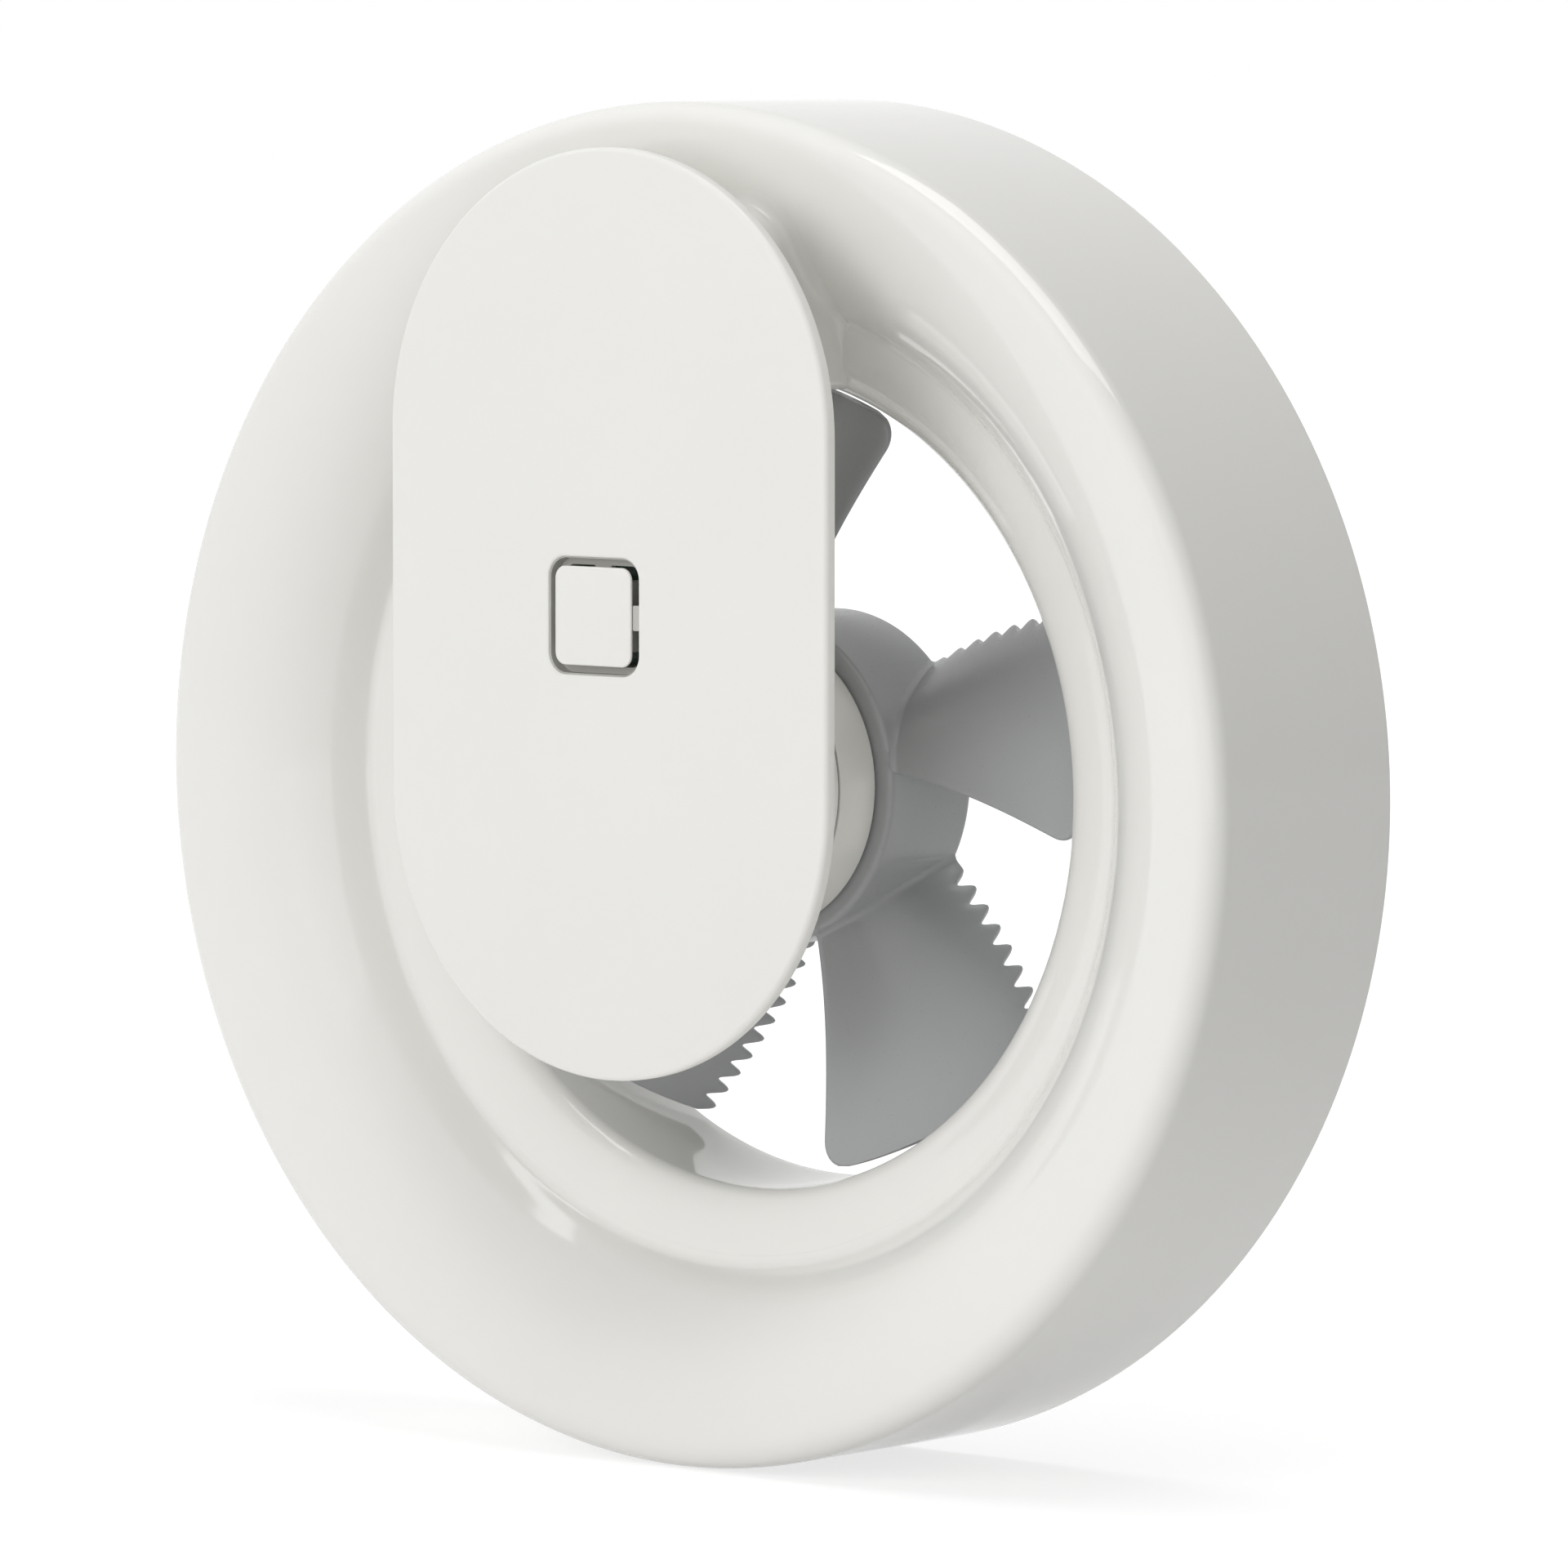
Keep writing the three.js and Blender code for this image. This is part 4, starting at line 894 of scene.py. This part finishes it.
class FAN_OT_front_plate(Step, bpy.types.Operator):
    """Front plate: a shallow dome with a fine round edge, an opening and a skirt behind"""

    bl_idname = "fan.front_plate"
    bl_label = "Front plate"

    def model(self, m):
        edge, back_edge = 0.9, 0.3
        dome_end = m.plate_half_width - edge
        radii = [dome_end * share for share in shares(24)]
        back_y = m.edge_y + m.plate_thickness
        plate = pill("cover_plate", [
            *[(r, dome_y(m, r)) for r in radii],
            *arc((dome_end, dome_y(m, dome_end) + edge), edge, -QUARTER, 0, 7)[1:],
            *arc((m.plate_half_width - back_edge, back_y - back_edge), back_edge, 0, QUARTER, 3),
            *[(r, dome_y(m, r) + m.plate_thickness) for r in reversed(radii)],
        ], m.plate_half_straight, m.plate_centre, 96)
        sunk, wall, skin = 1.9, 1.8, 0.05
        front = dome_y(m, m.neck_half_width) + sunk
        skirt = pressed("skirt", tray_outline(m, 0), front, m.tray_rim)
        join(plate, rounded(skirt, back_edge, 2, 60))
        cut(plate, pressed("hollow", tray_outline(m, wall), front + skin, m.tray_rim + OVER))
        lead, inward = 0.35, 0.15
        flare = [(0, m.tray_rim), (0, m.button_y + lead + inward)]
        for turn in quarter_turn(4)[1:]:
            y = m.button_y + inward + lead * (1 - math.sin(turn))
            flare.append((lead * (1 - math.cos(turn)), y))
        flare.append((lead, m.button_y - OVER))
        cut(plate, lofted("opening", [
            laid(button_square(m, m.opening_size + 2 * grow, OPENING_CORNER + grow), y)
            for grow, y in flare
        ]))
        finish(plate, "satin_abs", "housing", "front_plate")


class FAN_OT_button(Step, bpy.types.Operator):
    """Push button with a thin pad, and the grey frame with the two small webs that guide it; the
    frame's grey is partly painted shade
    """

    bl_idname = "fan.button"
    bl_label = "Push button and its frame"

    def model(self, m):
        edge, lip, undercut, depth = 0.3, 0.5, 2.2, 2.6
        skirt_size, skirt_wall, skirt_depth = m.button - 2 * undercut, 1.2, 5.6
        front, back, foot = m.button_y, m.button_y + depth, m.button_y + skirt_depth
        rings = [(skirt_size, skirt_wall / 2, back), (m.button, BUTTON_CORNER, front + lip)]
        for turn in quarter_turn(5):
            inset = edge * (1 - math.cos(turn))
            y = front + edge * (1 - math.sin(turn))
            rings.append((m.button - 2 * inset, BUTTON_CORNER - inset, y))
        cap = lofted("push_button", [
            laid(button_square(m, size, corner), y) for size, corner, y in rings])
        skirt = button_block(m, "skirt", skirt_size, skirt_wall / 2, back - SUNK, foot)
        room = skirt_size - 2 * skirt_wall
        cut(skirt, button_block(m, "hollow", room, skirt_wall / 4, back, foot + OVER))
        join(cap, skirt)
        end, radius, bevel = m.board_front - POST_GAP, 2, 0.3
        join(cap, turned("post", [
            (0, back - SUNK), (radius, back - SUNK), (radius, end - bevel), (radius - bevel, end),
            (0, end),
        ], 32, (0, m.plate_centre), closed=False))
        finish(cap, "satin_abs", "button", "button_cap")

        play, fit, thin, low = 0.15, 0.03, 0.17, 0.6
        outer, rear = m.opening_size + 2 * FRAME_FLANGE, m.board_front
        ledge = dome_y(m, outer / 2) + m.plate_thickness + play
        inner, corner = m.opening_size - 2 * fit, OPENING_CORNER - fit
        guide = button_block(m, "button_frame", outer, OPENING_CORNER, ledge, rear)
        # The collar lines the opening's walls with the frame's grey, which paints shade on them.
        join(guide, button_block(m, "collar", inner, corner, front + low, ledge + SUNK))
        inner, corner = inner - 2 * thin, corner - thin
        cut(guide, button_block(m, "well", inner, corner, front - OVER, ledge))
        inner, corner = m.button + 2 * play, BUTTON_CORNER + play
        cut(guide, button_block(m, "hole", inner, corner, ledge - OVER, rear + OVER))
        half, middle, soft = m.button / 2, m.plate_centre, 0.2
        near, far, wide = half + 0.12, m.opening_size / 2 - 0.1, 2
        side_web = rectangle(near, far, middle - wide, middle + wide, soft, 2)
        near, far, wide = middle + half - low, middle + half + SUNK, 1.7
        top_web = rectangle(-wide, wide, near, far, soft, 2)
        for outline, web_front in ((side_web, front + SUNK), (top_web, ledge + 0.02)):
            join(guide, pressed("web", outline, web_front, ledge + OVER))
        finish(guide, "guide_abs", "housing", "button_guide")


# ---------------------------------------------------------------- motor arm and motor cup


class FAN_OT_motor_arm(Step, bpy.types.Operator):
    """Hollow arm that carries the electronics and the front of the motor cup"""

    bl_idname = "fan.motor_arm"
    bl_label = "Motor arm"

    def model(self, m):
        arm = pressed("motor_arm", tray_outline(m, 0), m.tray_rim, m.tray_back)
        rounded(arm, 0.3, 3, 60)
        near, edge = m.tray_rim + OVER, 0.15
        join(arm, turned("cup_front", [
            (0, near), (m.cup_radius, near),
            *arc((m.cup_radius - edge, m.seam_front - edge), edge, 0, QUARTER, 3),
            (0, m.seam_front),
        ], closed=False))
        near, far = m.tray_rim - OVER, m.seam_front + OVER
        cut(arm, pressed("hollow", tray_outline(m, SHELL), near, m.tray_floor))
        inner, shelf, lip = m.cup_radius - SHELL, m.seam_front - SHELL, 4
        cut(arm, turned("opening", [
            (0, near), (inner, near), (inner, shelf), (inner - lip, shelf), (inner - lip, far),
            (0, far),
        ], closed=False))
        half, depth, play = 16, 8, 2.5
        top = m.neck_top - NECK_WALL - play
        bottom = top - depth
        post = rectangle(-half, half, bottom, top, 0.8)
        post = pressed("post", post, m.tray_back - SUNK, m.plate_y)
        channel = rectangle(SHELL - half, half - SHELL, bottom + SHELL, top + OVER, 0.5)
        cut(post, pressed("channel", channel, m.tray_back, m.plate_y - SHELL))
        join(arm, post)
        radius, bevel = 2, 0.3
        front, back = m.board_front + BOARD_THICKNESS, m.tray_floor + SUNK
        pillar = [(0, front), (radius - bevel, front), (radius, front + bevel), (radius, back),
                  (0, back)]
        sides, heights = (-15, 15), (28, 82)
        for place in [(x, z) for x in sides for z in heights]:
            join(arm, turned("pillar", pillar, 24, place, closed=False))
        finish(arm, "cup_abs", "housing", "motor_carrier")


class FAN_OT_motor_cup(Step, bpy.types.Operator):
    """Back half of the motor cup with its bearing tube, and the soft ring in the cup's seam"""

    bl_idname = "fan.motor_cup"
    bl_label = "Motor cup and damper"

    def model(self, m):
        edge, back_edge, tube, seat, seat_depth, neck = 0.15, 0.6, 7, 4.5, 4, 3
        lead, tube_length, collar_height = 5, 23, 4.4
        inner, collar = m.cup_radius - SHELL, tube + SHELL
        front = m.cup_floor - lead
        back = front + tube_length
        collar_back = m.cup_back + collar_height
        cup = turned("motor_cup", [
            *arc((m.cup_radius - edge, m.seam_back + edge), edge, -QUARTER, 0, 3),
            *arc((m.cup_radius - back_edge, m.cup_back - back_edge), back_edge, 0, QUARTER, 8),
            (collar, m.cup_back), (collar, collar_back), (tube, collar_back), (tube, back),
            (seat, back), (seat, back - seat_depth), (neck, back - seat_depth),
            (neck, front + seat_depth), (seat, front + seat_depth), (seat, front), (tube, front),
            (tube, m.cup_floor), (inner, m.cup_floor), (inner, m.seam_back),
        ])
        finish(cup, "cup_abs", "housing", "motor_base")

        soft, half, recess, width = 0.2, CUP_SEAM_WIDTH / 2, 0.3, 5.7
        outer = m.cup_radius - recess
        inner = outer - width
        ring = turned("cup_damper", [
            (inner, m.seam_front),
            *arc((outer - soft, m.seam_front + half), (soft, half), -QUARTER, QUARTER, 6),
            (inner, m.seam_back),
        ])
        finish(ring, "nitrile_rubber", "housing", "damper_ring")


# ---------------------------------------------------------------- impeller


BLADES = 5
BLADE_CAMBER = 2.2
FRONT_EDGE = (-67.5, -12)
REAR_EDGE = (-29.4, -14.6)
TIP_CORNER = 5
FIRST_TOOTH = 2.2
ROOT_FILLET = 0.9
NOSE = 1.6
HEEL = 0.7
ROW_PITCH = 0.34


def blade_edges(m, radius):
    """Angles of a blade's front and rear edges at a distance from the axis.

    Both edges start at an angle on the hub and lag by another up to the tip, with a bow between.
    """
    share = (radius - m.hub_radius) / (m.tip_radius - m.hub_radius)
    bow = 4 * share * (1 - share)
    return [math.radians(root + lag * share - bow) for root, lag in (FRONT_EDGE, REAR_EDGE)]


def on_blade(m, radius, reach, lift):
    """A place on a blade: reach runs from 0 at its front edge to 1 at its rear edge.

    The sheet starts flat and turns towards the axis as it runs back. Lift stands off its middle.
    """
    front, rear = blade_edges(m, radius)
    sweep = radius * (rear - front)
    depth = m.blade_back - m.blade_front
    run = Vector((sweep, depth * BLADE_CAMBER * reach ** (BLADE_CAMBER - 1))).normalized()
    turn = front + (reach * sweep - lift * run.y) / radius
    y = m.blade_front + depth * reach**BLADE_CAMBER + lift * run.x
    return radius * math.cos(turn), y, radius * math.sin(turn)


def blade_ring(m, radius):
    """One turn round a blade's section: round front edge, one face, round rear edge, other face."""
    front, rear = blade_edges(m, radius)
    sweep = radius * (rear - front)
    run_back = math.hypot(sweep, (m.blade_back - m.blade_front) * BLADE_CAMBER)
    past = max(0, radius - (m.tip_radius - TIP_CORNER))
    start = (TIP_CORNER - math.sqrt(TIP_CORNER**2 - past**2)) / sweep
    teeth = max(0, radius - m.hub_radius - FIRST_TOOTH) / m.tooth_pitch
    notch = m.tooth_depth * (1 - math.cos(math.tau * teeth)) / 2
    end = 1 - notch / run_back
    rise = min(ROOT_FILLET, max(0, m.hub_radius + ROOT_FILLET - radius))
    half = m.blade_thickness / 2 + ROOT_FILLET - math.sqrt(ROOT_FILLET**2 - rise**2)
    nose, heel = NOSE / sweep, HEEL / run_back
    faces = [start + nose + (end - heel - start - nose) * share for share in shares(16)]
    ring = [(start + nose * (1 - math.cos(turn)), -half * math.sin(turn))
            for turn in quarter_turn(4)[:-1]]
    ring += [(reach, -half) for reach in faces]
    ring += [(end - heel * (1 - math.cos(turn)), -half * math.sin(turn))
             for turn in quarter_turn(4)[-2::-1]]
    back = [(reach, -lift) for reach, lift in reversed(ring[1:-1])]
    return [on_blade(m, radius, reach, lift) for reach, lift in ring + back]


class FAN_OT_impeller(Step, bpy.types.Operator):
    """Impeller: a cupped hub and twisted blades with rounded teeth along their rear edges"""

    bl_idname = "fan.impeller"
    bl_label = "Impeller"

    def model(self, m):
        wall, corner, front_corner, lip = 1.8, 1.6, 1.2, m.cup_radius - 0.9
        boss, bore, boss_depth = 5, 2.05, 3.5
        floor, lip_back, inner = m.hub_back - wall, m.hub_front + 0.8, m.hub_radius - wall
        near = (m.hub_radius - front_corner, m.hub_front + front_corner)
        hub = turned("fan_wheel", [
            (0, m.hub_back),
            *arc((m.hub_radius - corner, m.hub_back - corner), corner, QUARTER, 0, 8),
            *arc(near, front_corner, 0, -QUARTER, 6),
            (lip, m.hub_front), (lip, lip_back), (inner, lip_back), (inner, floor),
            (boss, floor), (boss, floor - boss_depth), (bore, floor - boss_depth), (bore, floor),
            (0, floor),
        ], closed=False)
        rows = round((m.tip_radius - m.hub_radius) / ROW_PITCH)
        radii = [m.hub_radius - wall / 2]
        radii += [m.hub_radius + (m.tip_radius - m.hub_radius) * share for share in shares(rows)]
        blade = lofted("blade", [blade_ring(m, radius) for radius in radii])
        join(hub, ringed(blade, BLADES))
        finish(hub, "fan_polypropylene", "rotor", "impeller", angle=45)


# ---------------------------------------------------------------- stage


# The camera was fitted to the photograph's outlines.
CAMERA_AZIMUTH = math.radians(39.55)
CAMERA_ELEVATION = math.radians(4.36)
CAMERA_DISTANCE = 1700
CAMERA_LENS = 243.19
FRONT_CENTRE = Vector((0, -45.5, 0))
AIM_RIGHT = 18.48
AIM_UP = 0.695
WORLD_LEVEL = 1.05

# Each lamp's place in metres, its share, and whether reflections show it.
LAMPS = {
    "fill": ((1.0, -1.2, 0.3), 0.1, True),
    "front": ((0.1, -1.8, 0.4), 0.37, False),
    "top": ((0.3, -0.1, 1.5), 0.5, True),
}
LAMP_SIZE = 1.2

# The floor's side, its gap under the drum in millimetres, and its levels of white.
FLOOR_SIZE = 12
FLOOR_GAP = 0.2
FLOOR_WHITE = 0.88
FLOOR_GLOW = 1.14

# How much of the shadow shows, and between which distances from the fan it fades, in metres.
SHADOW_SHARE = 0.4
SHADOW_REACH = (0.12, 0.45)


def make_camera():
    """The photograph's long-lens view from the right, a little above the fan."""
    a, e = CAMERA_AZIMUTH, CAMERA_ELEVATION
    right = Vector((math.cos(a), math.sin(a), 0))
    back = Vector((math.sin(a) * math.cos(e), -math.cos(a) * math.cos(e), math.sin(e)))
    up = back.cross(right)
    place = FRONT_CENTRE + back * CAMERA_DISTANCE + right * AIM_RIGHT + up * AIM_UP
    bpy.ops.object.camera_add()
    camera = bpy.context.object
    camera.name = "camera"
    camera.data.lens = CAMERA_LENS
    camera.data.sensor_width = 36
    camera.data.clip_start = 0.05
    camera.data.clip_end = 50
    turn = Matrix((right, up, back)).transposed()
    camera.matrix_world = Matrix.Translation(place * MM) @ turn.to_4x4()
    bpy.context.scene.camera = camera


def make_lamp(name, place, share, mirrored):
    """A soft square lamp turned to the fan. Its share is what it adds to a white face turned to
    it, and an unmirrored lamp stays out of reflections."""
    place = Vector(place)
    bpy.ops.object.light_add(type="AREA", location=place)
    lamp = bpy.context.object
    lamp.name = name
    lamp.data.size = LAMP_SIZE
    lamp.visible_glossy = mirrored
    lamp.data.energy = share * math.pi**2 * place.length_squared
    lamp.rotation_euler = place.to_track_quat("Z", "Y").to_euler()


def seen_by(tree, *rays):
    """1 for the kinds of rays that are named and 0 for all others."""
    path = add(tree, "ShaderNodeLightPath")
    first, *others = [path.outputs[f"Is {ray} Ray"] for ray in rays]
    for other in others:
        first = add(tree, "ShaderNodeMath", {"operation": "MAXIMUM"}, links={0: first, 1: other})
        first = first.outputs[0]
    return first


def make_world():
    """Soft light that comes mostly from the left. The camera and reflections see plain white."""
    world = bpy.context.scene.world or bpy.data.worlds.new("studio")
    bpy.context.scene.world = world
    world.use_nodes = True
    tree = world.node_tree
    tree.nodes.clear()
    seen = seen_by(tree, "Camera", "Transmission", "Glossy")
    way = add(tree, "ShaderNodeTexCoord")
    split = add(tree, "ShaderNodeSeparateXYZ", links={"Vector": way.outputs["Generated"]})
    left = add(tree, "ShaderNodeMapRange", values={"From Min": 1, "From Max": -1},
               links={"Value": split.outputs["X"]})
    soft = add(tree, "ShaderNodeMath", {"operation": "POWER"}, {1: 2}, {0: left.outputs["Result"]})
    level = add(tree, "ShaderNodeMath", {"operation": "MULTIPLY"}, {1: WORLD_LEVEL},
                {0: soft.outputs[0]})
    white = add(tree, "ShaderNodeMix", {"data_type": "FLOAT"}, {"B": 1},
                {"Factor": seen, "A": level.outputs[0]})
    light = add(tree, "ShaderNodeBackground", values={"Color": (1, 1, 1, 1)},
                links={"Strength": white.outputs[0]})
    add(tree, "ShaderNodeOutputWorld", links={"Surface": light.outputs[0]})


def make_floor():
    """A wide white floor just under the drum.

    The camera sees it lit only near the fan, where it keeps the shadow, and plain white beyond.
    """
    lowest = CAD_BOX[0][2]
    bpy.ops.mesh.primitive_plane_add(size=FLOOR_SIZE, location=(0, 0, lowest - FLOOR_GAP * MM))
    floor = bpy.context.object
    floor.name = "floor"
    material = bpy.data.materials.new("studio_floor")
    material.use_nodes = True
    tree = material.node_tree
    tree.nodes.clear()
    seen = seen_by(tree, "Camera", "Glossy")
    place = add(tree, "ShaderNodeTexCoord")
    reach = add(tree, "ShaderNodeVectorMath", {"operation": "LENGTH"},
                links={0: place.outputs["Object"]})
    shade = add(tree, "ShaderNodeMapRange", {"interpolation_type": "SMOOTHSTEP"},
                {"From Min": SHADOW_REACH[0], "From Max": SHADOW_REACH[1],
                 "To Min": SHADOW_SHARE, "To Max": 0.0},
                {"Value": reach.outputs["Value"]})
    level = add(tree, "ShaderNodeMix", {"data_type": "FLOAT"}, {"A": FLOOR_WHITE},
                {"Factor": seen, "B": shade.outputs["Result"]})
    matt = add(tree, "ShaderNodeBsdfDiffuse", links={"Color": level.outputs[0]})
    rest = add(tree, "ShaderNodeMath", {"operation": "SUBTRACT"}, {0: FLOOR_GLOW},
               {1: shade.outputs["Result"]})
    lift = add(tree, "ShaderNodeMath", {"operation": "MULTIPLY"},
               links={0: rest.outputs[0], 1: seen})
    glow = add(tree, "ShaderNodeEmission", values={"Color": (1, 1, 1, 1)},
               links={"Strength": lift.outputs[0]})
    both = add(tree, "ShaderNodeAddShader", links={0: matt.outputs[0], 1: glow.outputs[0]})
    add(tree, "ShaderNodeOutputMaterial", links={"Surface": both.outputs[0]})
    floor.data.materials.append(material)


# ---------------------------------------------------------------- operators


class FAN_OT_stage(bpy.types.Operator):
    """Camera, lamps, world and floor"""

    bl_idname = "fan.stage"
    bl_label = "Stage"

    def execute(self, context):
        make_camera()
        make_world()
        for name, (place, share, mirrored) in LAMPS.items():
            make_lamp(name, place, share, mirrored)
        make_floor()
        context.scene.view_settings.view_transform = "Standard"
        return {"FINISHED"}


class FAN_OT_finishes(bpy.types.Operator):
    """Makes every material and puts each on the solids that show it"""

    bl_idname = "fan.finishes"
    bl_label = "Finishes"

    def execute(self, context):
        shown = make_materials(context.scene.fan_colours)
        for name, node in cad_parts.items():
            for place in node.material_slots:
                place.material = shown[name]
        return {"FINISHED"}


OPERATORS = [
    FAN_OT_finishes,
    FAN_OT_drum,
    FAN_OT_duct,
    FAN_OT_back_plate,
    FAN_OT_front_plate,
    FAN_OT_button,
    FAN_OT_motor_arm,
    FAN_OT_motor_cup,
    FAN_OT_impeller,
    FAN_OT_stage,
]


class FAN_PT_panel(bpy.types.Panel):
    """Lists the steps in their order"""

    bl_idname = "FAN_PT_panel"
    bl_label = "Exhaust fan"
    bl_space_type = "VIEW_3D"
    bl_region_type = "UI"
    bl_category = "Fan"

    def draw(self, context):
        for group in (context.scene.fan_sizes, context.scene.fan_colours):
            for name in group.__annotations__:
                self.layout.prop(group, name, text=name.replace("_", " ").capitalize())
        for step in OPERATORS:
            self.layout.operator(step.bl_idname)


CLASSES = [FanSizes, FanColours, *OPERATORS, FAN_PT_panel]


def register():
    for kind in CLASSES:
        bpy.utils.register_class(kind)
    bpy.types.Scene.fan_sizes = bpy.props.PointerProperty(type=FanSizes)
    bpy.types.Scene.fan_colours = bpy.props.PointerProperty(type=FanColours)


def unregister():
    del bpy.types.Scene.fan_colours
    del bpy.types.Scene.fan_sizes
    for kind in reversed(CLASSES):
        bpy.utils.unregister_class(kind)


def main():
    register()
    for step in OPERATORS:
        group, name = step.bl_idname.split(".")
        getattr(getattr(bpy.ops, group), name)()


if __name__ == "__main__":
    main()
